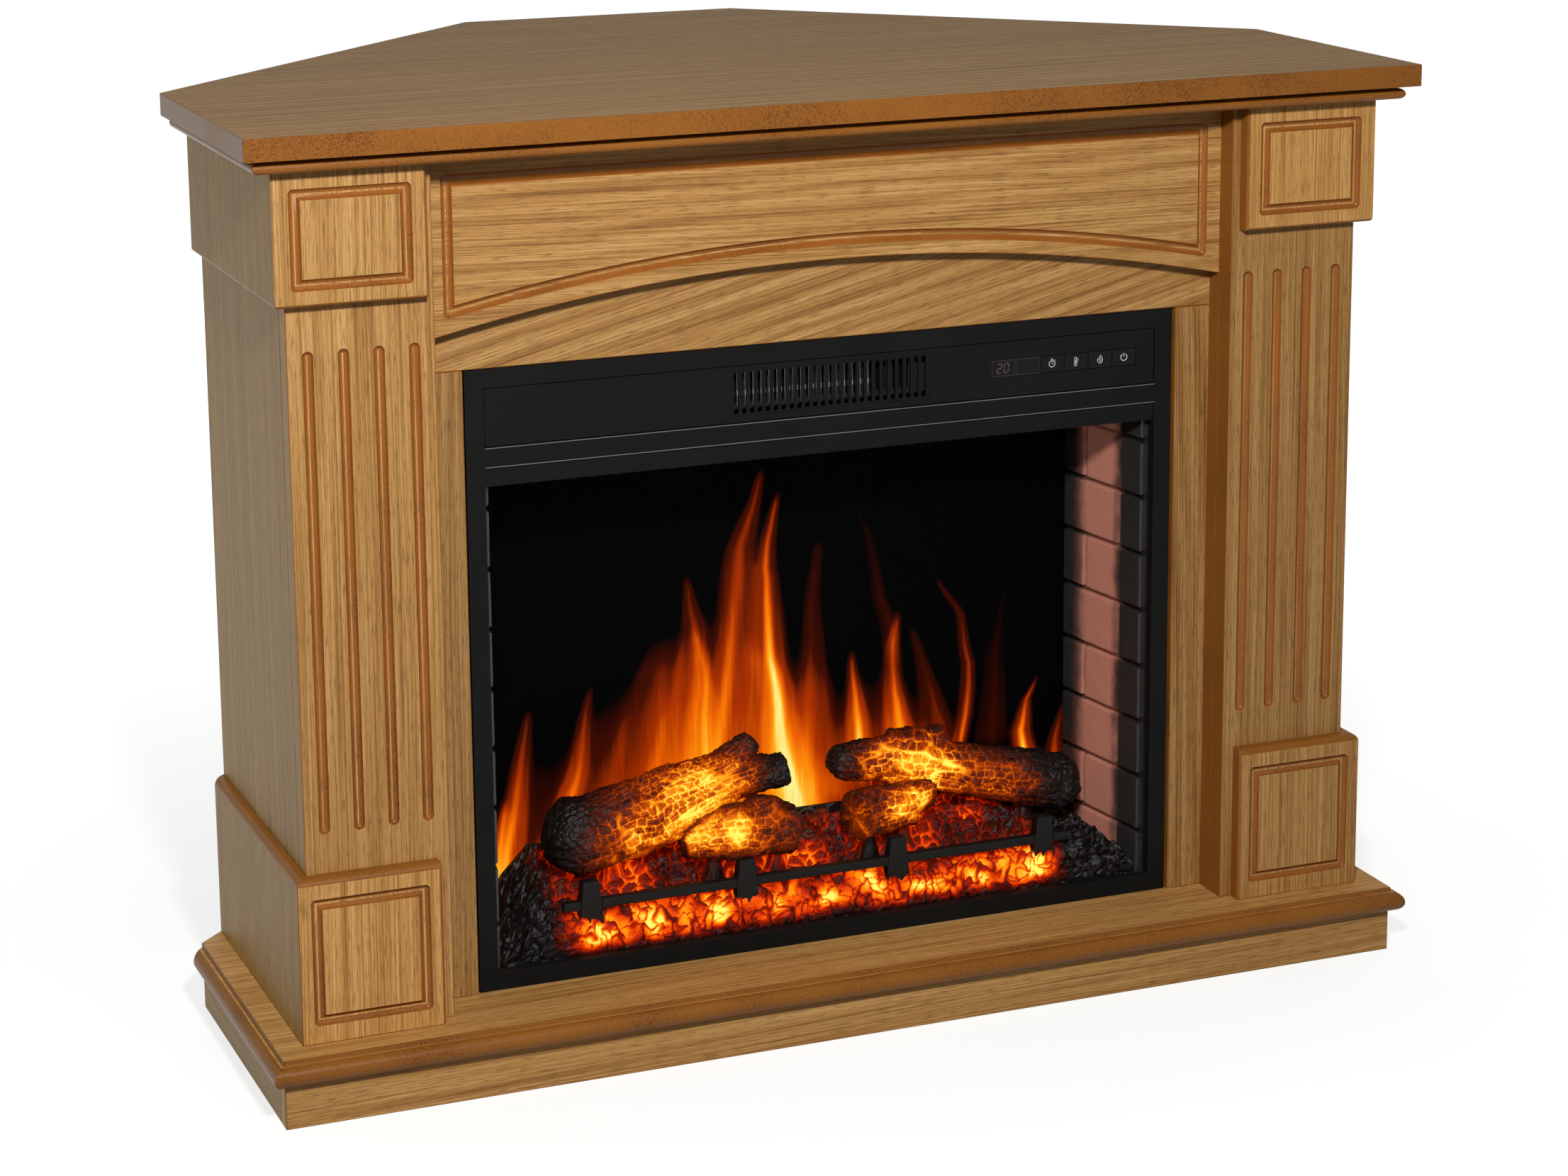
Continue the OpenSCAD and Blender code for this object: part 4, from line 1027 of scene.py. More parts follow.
def round_bar(shape, a, b, r1, r2):
    """Tapered round bar from point a to point b, in millimetres."""
    start = at(*a)
    end = at(*b)
    run = end - start
    turn = Vector((0, 0, 1)).rotation_difference(run).to_matrix().to_4x4()
    bmesh.ops.create_cone(
        shape, cap_ends=True, segments=40, radius1=r1 * MM, radius2=r2 * MM, depth=run.length,
        matrix=Matrix.Translation((start + end) / 2) @ turn)


def melted(name, bars, knots):
    """One closed skin of small even faces round overlapping bars and knots."""
    shape = bmesh.new()
    for bar in bars:
        round_bar(shape, *bar)
    for centre, radius in knots:
        bmesh.ops.create_icosphere(
            shape, subdivisions=3, radius=radius * MM, matrix=Matrix.Translation(at(*centre)))
    rough = bpy.data.meshes.new(name)
    shape.to_mesh(rough)
    shape.free()

    def prepare(holder):
        remesh = holder.modifiers.new("skin", "REMESH")
        remesh.mode = "VOXEL"
        remesh.voxel_size = LOG_VOXEL * MM
        relax = holder.modifiers.new("relax", "SMOOTH")
        relax.factor = 0.5
        relax.iterations = 6

    return evaluated(name, rough, prepare)


def cells(u, v, seed, squareness=2.0, spread=0.38):
    """Distances to the nearest and next nearest of points strewn one to a unit cell, at most
    spread from its middle: round cells at a squareness of 2, nearly rectangular ones above 4."""
    table = np.random.default_rng(seed).uniform(0.5 - spread, 0.5 + spread, (TABLE, TABLE, 2))
    i = np.floor(u).astype(int)
    j = np.floor(v).astype(int)
    nearest = np.full(u.shape, 9.0)
    second = np.full(u.shape, 9.0)
    for a in (-1, 0, 1):
        for b in (-1, 0, 1):
            spot = table[(i + a) % TABLE, (j + b) % TABLE]
            wide = np.abs(i + a + spot[..., 0] - u) ** squareness
            high = np.abs(j + b + spot[..., 1] - v) ** squareness
            far = (wide + high) ** (1 / squareness)
            second = np.minimum(second, np.maximum(nearest, far))
            nearest = np.minimum(nearest, far)
    return nearest, second


def bark(along, around, seed):
    """Pattern of charred bark over places in millimetres along and round a log: its two counts of
    blocks, how deep a crack is from 0 to 1, and how far a place is from the middle of its block."""
    wave = 3.5 * drift(along / 24, around / 20, seed)
    rows = along / BLOCK_LONG + 0.35 * drift(along / 9, around / 9, seed + 1)
    columns = (around + wave) / BLOCK_WIDE
    # Every other column is shifted by half a block.
    rows = rows + 0.5 * (np.floor(columns) % 2)
    near, far = cells(rows, columns, seed + 2, 5.0, 0.27)
    near_small, far_small = cells(rows * 2.1, columns * 1.9, seed + 3, 5.0)
    crack = np.maximum(bell(far - near, 0.095), 0.36 * bell(far_small - near_small, 0.11))
    split = bell(drift(along / 60, (around + wave) / 9, seed + 4), 0.07)
    return rows, columns, np.maximum(crack, split * 0.9), near


def char(mesh, log):
    """Crack a log's skin into charred blocks and store the warmth of each point."""
    seed = log["seed"]
    points = np.zeros(len(mesh.vertices) * 3)
    normals = np.zeros(len(mesh.vertices) * 3)
    mesh.vertices.foreach_get("co", points)
    mesh.vertices.foreach_get("normal", normals)
    points = points.reshape(-1, 3)
    normals = normals.reshape(-1, 3)
    p = (points - np.array(at(0, 0, 0))) / MM
    start = np.array(log["a"])
    axis = np.array(log["b"]) - start
    axis = axis / np.linalg.norm(axis)
    along = (p - start) @ axis
    off = p - start - along[:, None] * axis
    # The places round the log are counted from its front, so that their seam is at its back.
    across = np.cross(axis, (0, 1, 0))
    across = across / np.linalg.norm(across)
    front = np.cross(across, axis)
    if front[1] > 0:
        front = -front
    spin = np.arctan2(off @ across, off @ front)
    around = spin * log["girth"]
    rows, columns, crack, near = bark(along, around, seed)
    if log["rays"]:
        ends = 1 - step_up(-1.0, 3.0, along)
        reach = np.linalg.norm(off, axis=1)
        turn = spin * 9 / math.pi + 0.9 * drift(reach / 6, spin * 3, seed + 5)
        ray = bell(np.sin(turn * math.pi), 0.3) * step_up(1, 6, reach)
        crack = crack * (1 - ends) + ray * ends
    lump = (2.6 * drift(along / 22, around / 16, seed + 6)
            + 1.2 * drift(along / 9, around / 7, seed + 7))
    rough = 0.45 * drift(along / 3, around / 2.4, seed + 8)
    dome = 1.2 * np.clip(1 - near * 1.5, 0, 1)
    lift = lump + rough + dome - CRACK_DEPTH * crack
    points = points + normals * (lift * MM)[:, None]
    mesh.vertices.foreach_set("co", points.ravel())
    mesh.update()
    mesh.shade_smooth()
    zone = np.zeros(len(p))
    for centre, radius, power in log["hot"]:
        zone += power * bell(np.linalg.norm(p - np.array(centre), axis=1), radius)
    zone = np.minimum(1.12 * zone, 1.3) * (0.98 + 0.2 * drift(along / 14, around / 12, seed + 9))
    block_heat = 0.38 + 0.16 * drift(rows * 0.9, columns * 0.8, seed + 10) - 0.1 * (dome - 0.4)
    alight = 0.42 + 0.22 * drift(along / 17, around / 12, seed + 11)
    store(mesh, "warmth", np.clip(
        zone * (block_heat + 0.12 * rough + alight * crack) + 0.45 * np.clip(zone - 0.92, 0, 1),
        0, 1.04))


# Log: line from a to b for the bark, its girth, bars and knots that make the shape, hot places as
# centre, radius and strength; all in millimetres. With rays, the end at a cracks from its middle.
LOGS = {
    "left_log": dict(
        a=(-240, 70, 180), b=(-36, 90, 226), girth=34, seed=3, rays=False,
        bars=(((-246, 68, 179), (-150, 78, 196), 36, 36), ((-152, 78, 196), (-72, 88, 214), 36, 25),
              ((-80, 90, 220), (-50, 92, 247), 19, 10), ((-78, 86, 210), (-18, 88, 215), 22, 15)),
        knots=(((-190, 62, 206), 22), ((-120, 80, 216), 22), ((-236, 68, 184), 36)),
        hot=(((-148, 50, 200), 60, 0.86), ((-96, 60, 216), 44, 0.74), ((-62, 64, 224), 28, 0.3),
             ((-198, 36, 172), 44, 0.5), ((-120, 40, 170), 26, 0.85))),
    "left_branch": dict(
        a=(-132, 54, 168), b=(-18, 57, 168), girth=26, seed=9, rays=False,
        bars=(((-134, 54, 166), (-88, 54, 170), 15, 27), ((-90, 54, 170), (-22, 57, 166), 27, 25)),
        knots=(((-52, 56, 176), 26),),
        hot=(((-128, 34, 174), 24, 1.2), ((-98, 30, 186), 24, 1.0), ((-66, 32, 178), 34, 0.72),
             ((-28, 36, 168), 24, 0.4))),
    "right_log": dict(
        a=(38, 90, 214), b=(290, 94, 156), girth=26, seed=17, rays=False,
        bars=(((38, 88, 214), (98, 90, 210), 16, 24), ((94, 90, 208), (190, 92, 186), 25, 26),
              ((188, 92, 186), (284, 94, 160), 26, 29), ((96, 88, 222), (154, 90, 226), 17, 11)),
        knots=(((118, 86, 216), 23), ((48, 88, 214), 18), ((278, 94, 161), 28)),
        hot=(((116, 62, 206), 38, 0.95), ((158, 64, 192), 42, 0.72), ((70, 66, 214), 32, 0.6),
             ((208, 66, 176), 34, 0.45), ((242, 68, 160), 30, 0.25))),
    "right_branch": dict(
        a=(40, 48, 170), b=(126, 72, 172), girth=23, seed=23, rays=True,
        bars=(((40, 48, 170), (104, 64, 170), 26, 21), ((88, 60, 170), (130, 74, 178), 20, 15)),
        knots=(),
        hot=(((40, 40, 170), 28, 0.72), ((114, 44, 180), 26, 1.15), ((80, 38, 172), 26, 0.8))),
}


class FIREPLACE_OT_logs(bpy.types.Operator):
    """Cast the glowing logs with their charred bark"""
    bl_idname = "fireplace.logs"
    bl_label = "Logs"

    def execute(self, context):
        make_embers(LOG_RESIN, context.scene.fire_settings.glow, LOG_TONES)
        for node, log in LOGS.items():
            skin = melted(f"{node}_bark", log["bars"], log["knots"])
            char(skin, log)
            new_piece(f"{node}_bark", skin, [LOG_RESIN], ROOT, "log_resin", node)
        return {"FINISHED"}


# ---------- ember bed ----------

# Side view of the bed as (y, z), the height that its ends allow as (x, z), and the mounds that
# the logs rest on as (x, y, top).
BED_SIDE = ((17.6, 69), (17.6, 90), (24, 106), (46, 119), (75, 140), (110, 149), (148, 151))
BED_ENDS = ((-330, 84), (-308, 90), (-290, 124), (-262, 152), (170, 152), (262, 124), (306, 118),
            (330, 92))
BED_PINS = ((-200, 76, 176), (-90, 87, 200), (80, 92.5, 192), (244, 95, 156), (-104, 56, 154),
            (-38, 58, 154), (58, 54, 156), (98, 64, 152))
# Height of its underside, and the nearest and farthest y that its coals may reach.
BED_UNDERSIDE = 68
BED_NEAREST = 17.2
BED_FARTHEST = 148.9
# Faces along and across the bed, and how far apart its brighter spots are.
BED_COLUMNS = 520
BED_ROWS = 170
SPOT_PITCH = 57


def bed_heat(x, y, z, ridge, gap):
    """Heat of the ember bed: lit patches between dark ridges on the front slope, with brighter
    spots evenly spaced along it, and dull red gaps between dark coals behind the bar."""
    ends = step_up(-288, -244, x) * (1 - step_up(236, 268, x))
    phase = (x + 9 * drift(x / 60, y / 40, 31)) / SPOT_PITCH
    offset = (phase - np.round(phase)) * SPOT_PITCH
    spot = np.exp(-(offset / 12) ** 2 - ((z - 101 - 4 * drift(x / 50, y / 50, 37)) / 9) ** 2)
    slope = np.exp(-((z - 103) / 19) ** 4) * step_up(15, 18, y)
    patch = 0.68 + 0.34 * drift(x / 16, z / 11, 33)
    front = slope * (patch * 0.92 + 0.55 * spot) * (1 - 0.62 * ridge)
    behind = step_up(44, 56, y) * (1 - step_up(118, 142, y)) * (1 - step_up(190, 250, x) * 0.6)
    back = behind * (0.27 + 0.34 * gap) * (0.85 + 0.5 * drift(x / 30, y / 22, 35))
    return np.clip(ends * np.maximum(front, back), 0, 1.05)


def bed_surface():
    """Grids of x, y and z of the ember bed's points in millimetres, and their heat."""
    side = np.array(BED_SIDE)
    run = np.concatenate([[0], np.cumsum(np.hypot(*np.diff(side, axis=0).T))])
    s = np.linspace(0, run[-1], BED_ROWS + 1)
    y = np.interp(s, run, side[:, 0])
    z = np.interp(s, run, side[:, 1])
    # The bed narrows towards its back, as the brick linings lean in.
    half = (330 - 19 * (y - 17) / 132)[:, None]
    grid_x = np.linspace(-1, 1, BED_COLUMNS + 1)[None, :] * half
    path, grid_y, grid_z = (
        np.repeat(line[:, None], BED_COLUMNS + 1, axis=1) for line in (s, y, z))
    grid_z = np.minimum(grid_z, np.interp(grid_x, *np.array(BED_ENDS).T))
    # Coals of 13 x 10 mm on lumps of 19 mm, with sharp creases every 5 to 13 mm.
    lump = drift(grid_x / 19, path / 15, 41)
    bent_x = grid_x + 5 * drift(grid_x / 12, path / 12, 45)
    bent_s = path + 5 * drift(grid_x / 12, path / 12, 46)
    near, far = cells(bent_x / 13, bent_s / 10, 42)
    gap = bell(far - near, 0.2)
    ridge = np.maximum(bell(drift(bent_x / 7.5, bent_s / 13, 43), 0.16),
                       0.8 * bell(drift(bent_x / 10, bent_s / 5, 44), 0.14))
    coarse = 0.6 * drift(grid_x / 3.2, path / 3.2, 47)
    crinkle = 2.0 * lump + 2.2 * ridge + 2.4 * (1 - near) - 2.4 * gap + coarse
    # The relief stands about square to the bed, and dies away at its rim.
    free = step_up(0, 7, path) * step_up(0, 6, run[-1] - path)
    away = step_up(0, 10, half - np.abs(grid_x))
    lift = (crinkle - 1.6) * free * away
    grid_y = np.maximum(grid_y - np.gradient(z, s)[:, None] * lift, BED_NEAREST)
    grid_y = np.minimum(grid_y, BED_FARTHEST)
    grid_z = grid_z + np.gradient(y, s)[:, None] * lift + 0.5 * lift * free
    for x0, y0, top in BED_PINS:
        reach = np.hypot(grid_x - x0, grid_y - y0)
        mound = grid_z + (top - grid_z) * (1 - step_up(3, 13, reach))
        grid_z = np.maximum(grid_z, mound)
    return grid_x, grid_y, grid_z, bed_heat(grid_x, grid_y, grid_z, ridge, gap)


class FIREPLACE_OT_ember_bed(bpy.types.Operator):
    """Cast the bed of embers with the mounds that carry the logs"""
    bl_idname = "fireplace.ember_bed"
    bl_label = "Ember bed"

    def execute(self, context):
        make_embers(BED_RESIN, context.scene.fire_settings.glow, BED_TONES)
        x, y, z, heat = bed_surface()
        shape = skin_over([at(*p) for p in zip(x.flat, y.flat, z.flat)], BED_COLUMNS + 1)
        close_skin(shape, 2, at(0, 0, BED_UNDERSIDE).z)
        bmesh.ops.recalc_face_normals(shape, faces=shape.faces)
        made = to_mesh(shape, "ember_bed_coals", 60)
        store(made, "warmth", heat.ravel())
        new_piece("ember_bed_coals", made, [BED_RESIN], ROOT, "ember_resin", "ember_bed")
        return {"FINISHED"}


# ---------- brick lining ----------

BRICK = "resin moulded brickwork with painted light"
# Backing behind the joints: a darker copy of the brickwork, painted shade.
JOINT_PAINTED_SHADE = "brick joint backing painted shade"
# Sizes in millimetres of the lining, its courses and joints, its bricks and its backing; how far
# out of the lining's plane the middles of both lie; the place of the upright joint in even and odd
# courses; the corner that the lining stands on, and its lean in degrees.
PANEL_LONG = 132
PANEL_HIGH = 488
COURSES = 9
COURSE = 57
JOINT = 5
UPRIGHT_JOINT = (34, 92)
BRICK_THICK = 9.4
BRICK_GRIT = 1.3
BRICK_EDGE = 1.6
BRICK_MIDDLE = -5
BACKING_THICK = 5
BACKING_MIDDLE = -2.6
BACKING_INSET = 0.6
LINING_CORNER = (341.5, 18, 68)
LEAN = 8


def new_tree(name, **inputs):
    """Geometry Nodes tree with geometry in and out and inputs of the given kinds; returns it and
    its input node."""
    tree = bpy.data.node_groups.new(name, "GeometryNodeTree")
    for label, kind in {"Geometry": "Geometry", **inputs}.items():
        tree.interface.new_socket(
            label.replace("_", " "), in_out="INPUT", socket_type=f"NodeSocket{kind}")
    tree.interface.new_socket("Geometry", in_out="OUTPUT", socket_type="NodeSocketGeometry")
    return tree, add(tree, "NodeGroupInput")


def lining_tree():
    """Geometry Nodes: one rough brick on each point, as long and high as the point says."""
    tree, given = new_tree("brick_lining", Brick_thickness="Float", Roughness_depth="Float",
                           Material="Material")
    size = add(tree, "GeometryNodeInputNamedAttribute", {"Name": "brick"},
               data_type="FLOAT_VECTOR")
    cube = add(tree, "GeometryNodeMeshCube", {
        "Size": (1, 1, 1), "Vertices X": 4, "Vertices Y": 22, "Vertices Z": 20})
    thick = add(tree, "ShaderNodeCombineXYZ", {
        "X": given.outputs["Brick thickness"], "Y": 1.0, "Z": 1.0})
    scale = add(tree, "ShaderNodeVectorMath", {
        0: size.outputs["Attribute"], 1: thick.outputs[0]}, operation="MULTIPLY")
    laid = add(tree, "GeometryNodeInstanceOnPoints", {
        "Points": given.outputs["Geometry"], "Instance": cube.outputs["Mesh"],
        "Scale": scale.outputs[0]})
    real = add(tree, "GeometryNodeRealizeInstances", {"Geometry": laid.outputs["Instances"]})
    place = add(tree, "GeometryNodeInputPosition")
    rough = add(tree, "ShaderNodeTexNoise", {
        "Vector": place.outputs[0], "Scale": 55.0, "Detail": 3.0})
    centred = add(tree, "ShaderNodeVectorMath", {
        0: rough.outputs["Color"], 1: (0.5, 0.5, 0.5)}, operation="SUBTRACT")
    push = add(tree, "ShaderNodeVectorMath", {
        0: centred.outputs[0], "Scale": given.outputs["Roughness depth"]}, operation="SCALE")
    moved = add(tree, "GeometryNodeSetPosition", {
        "Geometry": real.outputs[0], "Offset": push.outputs[0]})
    done = add(tree, "GeometryNodeSetMaterial", {
        "Geometry": moved.outputs[0], "Material": given.outputs["Material"]})
    add(tree, "NodeGroupOutput", {"Geometry": done.outputs[0]})
    return tree


def grown(name, mesh, tree, values):
    """Plain mesh that a node tree makes from a mesh, with the modifier's inputs by name."""
    def prepare(holder):
        modifier = holder.modifiers.new("nodes", "NODES")
        modifier.node_group = tree
        for item in tree.interface.items_tree:
            if item.item_type == "SOCKET" and item.in_out == "INPUT" and item.name in values:
                modifier[item.identifier] = values[item.name]

    return evaluated(name, mesh, prepare)


def lining(side, tree):
    """Brick lining of one side: a backing in a darker copy of the brickwork, painted shade in the
    joints, and rounded bricks that lean with it.
    """
    node = "right_brick_panel" if side > 0 else "left_brick_panel"
    middles = []
    sizes = []
    for row in range(COURSES):
        low = row * COURSE + (JOINT / 2 if row else 0)
        high = min((row + 1) * COURSE - JOINT / 2, PANEL_HIGH)
        joint = UPRIGHT_JOINT[row % 2]
        for near, far in ((0, joint), (joint + JOINT, PANEL_LONG)):
            middles.append((BRICK_MIDDLE * MM, (near + far) / 2 * MM, (low + high) / 2 * MM))
            sizes += [1, (far - near) * MM, (high - low) * MM]
    seed = bpy.data.meshes.new("brick_seed")
    seed.from_pydata(middles, [], [])
    seed.attributes.new("brick", "FLOAT_VECTOR", "POINT").data.foreach_set("vector", sizes)
    made = grown(f"{node}_bricks", seed, tree, {
        "Brick thickness": BRICK_THICK * MM, "Roughness depth": BRICK_GRIT * MM,
        "Material": own_material(BRICK)})
    shape = bmesh.new()
    shape.from_mesh(made)
    bpy.data.meshes.remove(made)
    edges = [e for e in shape.edges if e.is_manifold and e.calc_face_angle(0) > math.radians(60)]
    bmesh.ops.bevel(shape, geom=edges, offset=BRICK_EDGE * MM, segments=2, profile=0.5,
                    affect="EDGES", clamp_overlap=True, material=-1)
    for face in shape.faces:
        face.material_index = 0
    place = Matrix.Translation((
        BACKING_MIDDLE * MM, PANEL_LONG / 2 * MM, PANEL_HIGH / 2 * MM))
    size = Matrix.Diagonal((
        BACKING_THICK * MM, (PANEL_LONG - BACKING_INSET) * MM, (PANEL_HIGH - BACKING_INSET) * MM,
        1))
    backing = bmesh.ops.create_cube(shape, size=1, matrix=place @ size)
    for face in {f for v in backing["verts"] for f in v.link_faces}:
        face.material_index = 1
    turn = Matrix.Translation(at(*LINING_CORNER)) @ Matrix.Rotation(math.radians(LEAN), 4, "Z")
    bmesh.ops.transform(shape, matrix=turn, verts=shape.verts)
    if side < 0:
        bmesh.ops.transform(shape, matrix=Matrix.Diagonal((-1, 1, 1, 1)), verts=shape.verts)
        bmesh.ops.reverse_faces(shape, faces=shape.faces)
    new_piece(f"{node}_bricks", to_mesh(shape, f"{node}_bricks", 40), [BRICK, JOINT_PAINTED_SHADE], ROOT,
              "brick_lining", node)


class FIREPLACE_OT_lining(bpy.types.Operator):
    """Lay the moulded brickwork at both sides of the fire"""
    bl_idname = "fireplace.lining"
    bl_label = "Brick lining"

    def execute(self, context):
        make_brick(BRICK, 1.0)
        # The joints' backing at 0.42: painted shade in the joints.
        make_brick(JOINT_PAINTED_SHADE, 0.42)
        tree = lining_tree()
        lining(1, tree)
        lining(-1, tree)
        return {"FINISHED"}


class FIREPLACE_OT_glass(bpy.types.Operator):
    """Glaze the front of the fire"""
    bl_idname = "fireplace.glass"
    bl_label = "Front glass"

    def execute(self, context):
        make_glass(GLASS)
        dress("front_glass", "front_glass_pane", GLASS, ROOT, "clear_glass", 0.4 * MM)
        return {"FINISHED"}


# ---------- heater wires, folds with painted highlight, seals, screw recesses in painted shade ---

# In millimetres: heights of the two folds, places of the heater's wires along x, the gap between
# the trim frame and each stile, and places of the rear cover's screws from its edges and middle.
FOLD_HEIGHTS = (583.4, 565.7)
WIRE_PITCH = 4.0
WIRES_FROM = -96
WIRES_TO = 52
FRAME_GAP = 2.0
SCREW_INSET = 9
INNER_SCREWS = 110


def repeat_tree():
    """Geometry Nodes: one copy of a rod, turned as asked, on each point."""
    tree, given = new_tree("rods_on_points", Radius="Float", Length="Float", Turn="Rotation",
                           Material="Material")
    rod = add(tree, "GeometryNodeMeshCylinder", {
        "Vertices": 14, "Side Segments": 1, "Fill Segments": 2,
        "Radius": given.outputs["Radius"], "Depth": given.outputs["Length"]},
        fill_type="TRIANGLE_FAN")
    laid = add(tree, "GeometryNodeInstanceOnPoints", {
        "Points": given.outputs["Geometry"], "Instance": rod.outputs["Mesh"],
        "Rotation": given.outputs["Turn"]})
    real = add(tree, "GeometryNodeRealizeInstances", {"Geometry": laid.outputs["Instances"]})
    done = add(tree, "GeometryNodeSetMaterial", {
        "Geometry": real.outputs[0], "Material": given.outputs["Material"]})
    add(tree, "NodeGroupOutput", {"Geometry": done.outputs[0]})
    return tree


def rods(name, tree, places, radius, long, level, material, slot):
    """Piece of equal rods, one at each place, upright or level along x; radius in millimetres."""
    seed = bpy.data.meshes.new(f"{name}_seed")
    seed.from_pydata([tuple(p) for p in places], [], [])
    made = grown(name, seed, tree, {
        "Radius": radius * MM, "Length": long, "Turn": (0, math.pi / 2 if level else 0, 0),
        "Material": own_material(material)})
    made.shade_smooth()
    made.set_sharp_from_angle(angle=math.radians(40))
    new_piece(name, made, [], ROOT, slot)


class FIREPLACE_OT_small_steel(bpy.types.Operator):
    """Hang the heater's wires, lay the folded edges under the fascia with a painted highlight, seal
    the gaps beside the frame and lay dark crosses on the rear cover's screws as painted shade of
    their recesses"""
    bl_idname = "fireplace.small_steel"
    bl_label = "Wires, folded edges, seals and screws"

    def execute(self, context):
        tree = repeat_tree()
        low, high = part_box("heater_element")
        middle = (low.z + high.z) / 2
        front = low.y - 1.2 * MM
        xs = np.arange(WIRES_FROM, WIRES_TO, WIRE_PITCH) * MM
        wires = [(x, front, middle) for x in xs]
        clips = [(x, front - 0.4 * MM, middle - 3 * MM) for x in xs]
        rods("heater_wires", tree, wires, 0.6, (high.z - low.z) * 0.9, False, MOTOR,
             "aluminium_fins")
        rods("heater_clips", tree, clips, 1.0, 4.5 * MM, False, FINS, "aluminium_fins")
        # Folded edges under the fascia: pale grey rods, a painted highlight along the folds.
        rods("folded_edges", tree, [at(0, 3.1, z) for z in FOLD_HEIGHTS], 0.5,
             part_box("control_fascia")[1].x * 2, True, FOLD_HIGHLIGHT, "black_steel")
        # A soft cord fills the gap between the frame and each stile.
        low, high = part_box("trim_frame")
        gaps = [(side * (high.x + FRAME_GAP / 2 * MM), high.y - 2.5 * MM, (low.z + high.z) / 2)
                for side in (-1, 1)]
        rods("frame_seals", tree, gaps, 1.25, high.z - low.z, False, SEAL, "black_plastic")
        # Dark crosses on the rear cover's screws: painted shade of their recesses.
        low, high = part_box("rear_cover")
        inset = SCREW_INSET * MM
        heads = [(x, high.y - 0.36 * MM, z) for z in (low.z + inset, high.z - inset)
                 for x in (low.x + inset, -INNER_SCREWS * MM, INNER_SCREWS * MM, high.x - inset)]
        rods("screw_recesses_upright", tree, heads, 0.46, 4.4 * MM, False, BLACK_STEEL_AND_SHADE,
             "zinc_steel")
        rods("screw_recesses_level", tree, heads, 0.46, 4.4 * MM, True, BLACK_STEEL_AND_SHADE, "zinc_steel")
        return {"FINISHED"}


# ---------- stage ----------

# The photograph's camera: place in millimetres from the stiles' front, turn, pitch and roll in
# degrees, focal length in pixels of a picture 2212 wide, and the share that it is shifted.
CAMERA_PLACE = (-1273.24, -3051.45, 1333.85)
CAMERA_TURN = 21.86
CAMERA_PITCH = 12.28
CAMERA_ROLL = -0.47
FOCAL_PIXELS = 5124.24
PICTURE_WIDTH = 2212
SENSOR = 36
SHIFT_UP = -0.13

# Lamp: place and target in metres, width, share of the key lamp's power, colour, and whether
# glossy faces mirror it.
LAMPS = {
    "key_lamp": ((-0.66, -2.1, 1.68), (-0.1, -0.2, 0.45), 0.18, 1.0, (1, 0.985, 0.96), True),
    "back_lamp": ((0.2, 3.3, 1.1), (0, 0.3, 0.45), 2.2, 1.15, (0.97, 0.985, 1), False),
    "side_lamp": ((3.1, 0.9, 1.0), (0.4, 0.1, 0.45), 1.6, 0.45, (1, 0.985, 0.96), False),
    "left_lamp": ((-3.1, 0.9, 1.0), (-0.4, 0.1, 0.45), 1.6, 0.42, (0.76, 1, 0.95), False),
}
FLOOR = "floor paint pale matt"
FLOOR_SIZE = 14


def build_camera():
    """Camera at the photograph's angle, with the shift that its framing needs."""
    turn = math.radians(CAMERA_TURN)
    pitch = math.radians(CAMERA_PITCH)
    roll = math.radians(CAMERA_ROLL)
    forward = Vector((
        math.sin(turn) * math.cos(pitch), math.cos(turn) * math.cos(pitch), -math.sin(pitch)))
    level = forward.cross(Vector((0, 0, 1))).normalized()
    plumb = level.cross(forward)
    right = math.cos(roll) * level + math.sin(roll) * plumb
    up = -math.sin(roll) * level + math.cos(roll) * plumb
    data = bpy.data.cameras.new("camera")
    data.sensor_width = SENSOR
    data.lens = FOCAL_PIXELS / PICTURE_WIDTH * SENSOR
    data.shift_y = SHIFT_UP
    made = bpy.data.objects.new("camera", data)
    bpy.context.scene.collection.objects.link(made)
    turned = Matrix((right, up, -forward)).transposed().to_4x4()
    made.matrix_world = Matrix.Translation(at(*CAMERA_PLACE)) @ turned
    bpy.context.scene.camera = made


def soft_lamp(name, place, target, size, power, colour, mirrored):
    """Square lamp at a place, aimed at a target; mirrored when glossy faces show it."""
    data = bpy.data.lights.new(name, "AREA")
    data.shape = "SQUARE"
    data.size = size
    data.energy = power
    data.color = colour
    made = bpy.data.objects.new(name, data)
    bpy.context.scene.collection.objects.link(made)
    aim = Vector(target) - Vector(place)
    made.rotation_euler = aim.to_track_quat("-Z", "Y").to_euler()
    made.location = place
    made.visible_glossy = mirrored


def seen_rays(tree, mirrored):
    """1 for what the camera sees by itself or through glass, mirrored for what a gloss shows, and
    0 for light."""
    path = add(tree, "ShaderNodeLightPath")
    direct = add(tree, "ShaderNodeMath", {
        0: path.outputs["Is Camera Ray"], 1: path.outputs["Is Transmission Ray"]},
        operation="MAXIMUM")
    gloss = add(tree, "ShaderNodeMath", {
        0: path.outputs["Is Glossy Ray"], 1: mirrored}, operation="MULTIPLY")
    return add(tree, "ShaderNodeMath", {
        0: direct.outputs[0], 1: gloss.outputs[0]}, operation="MAXIMUM").outputs[0]


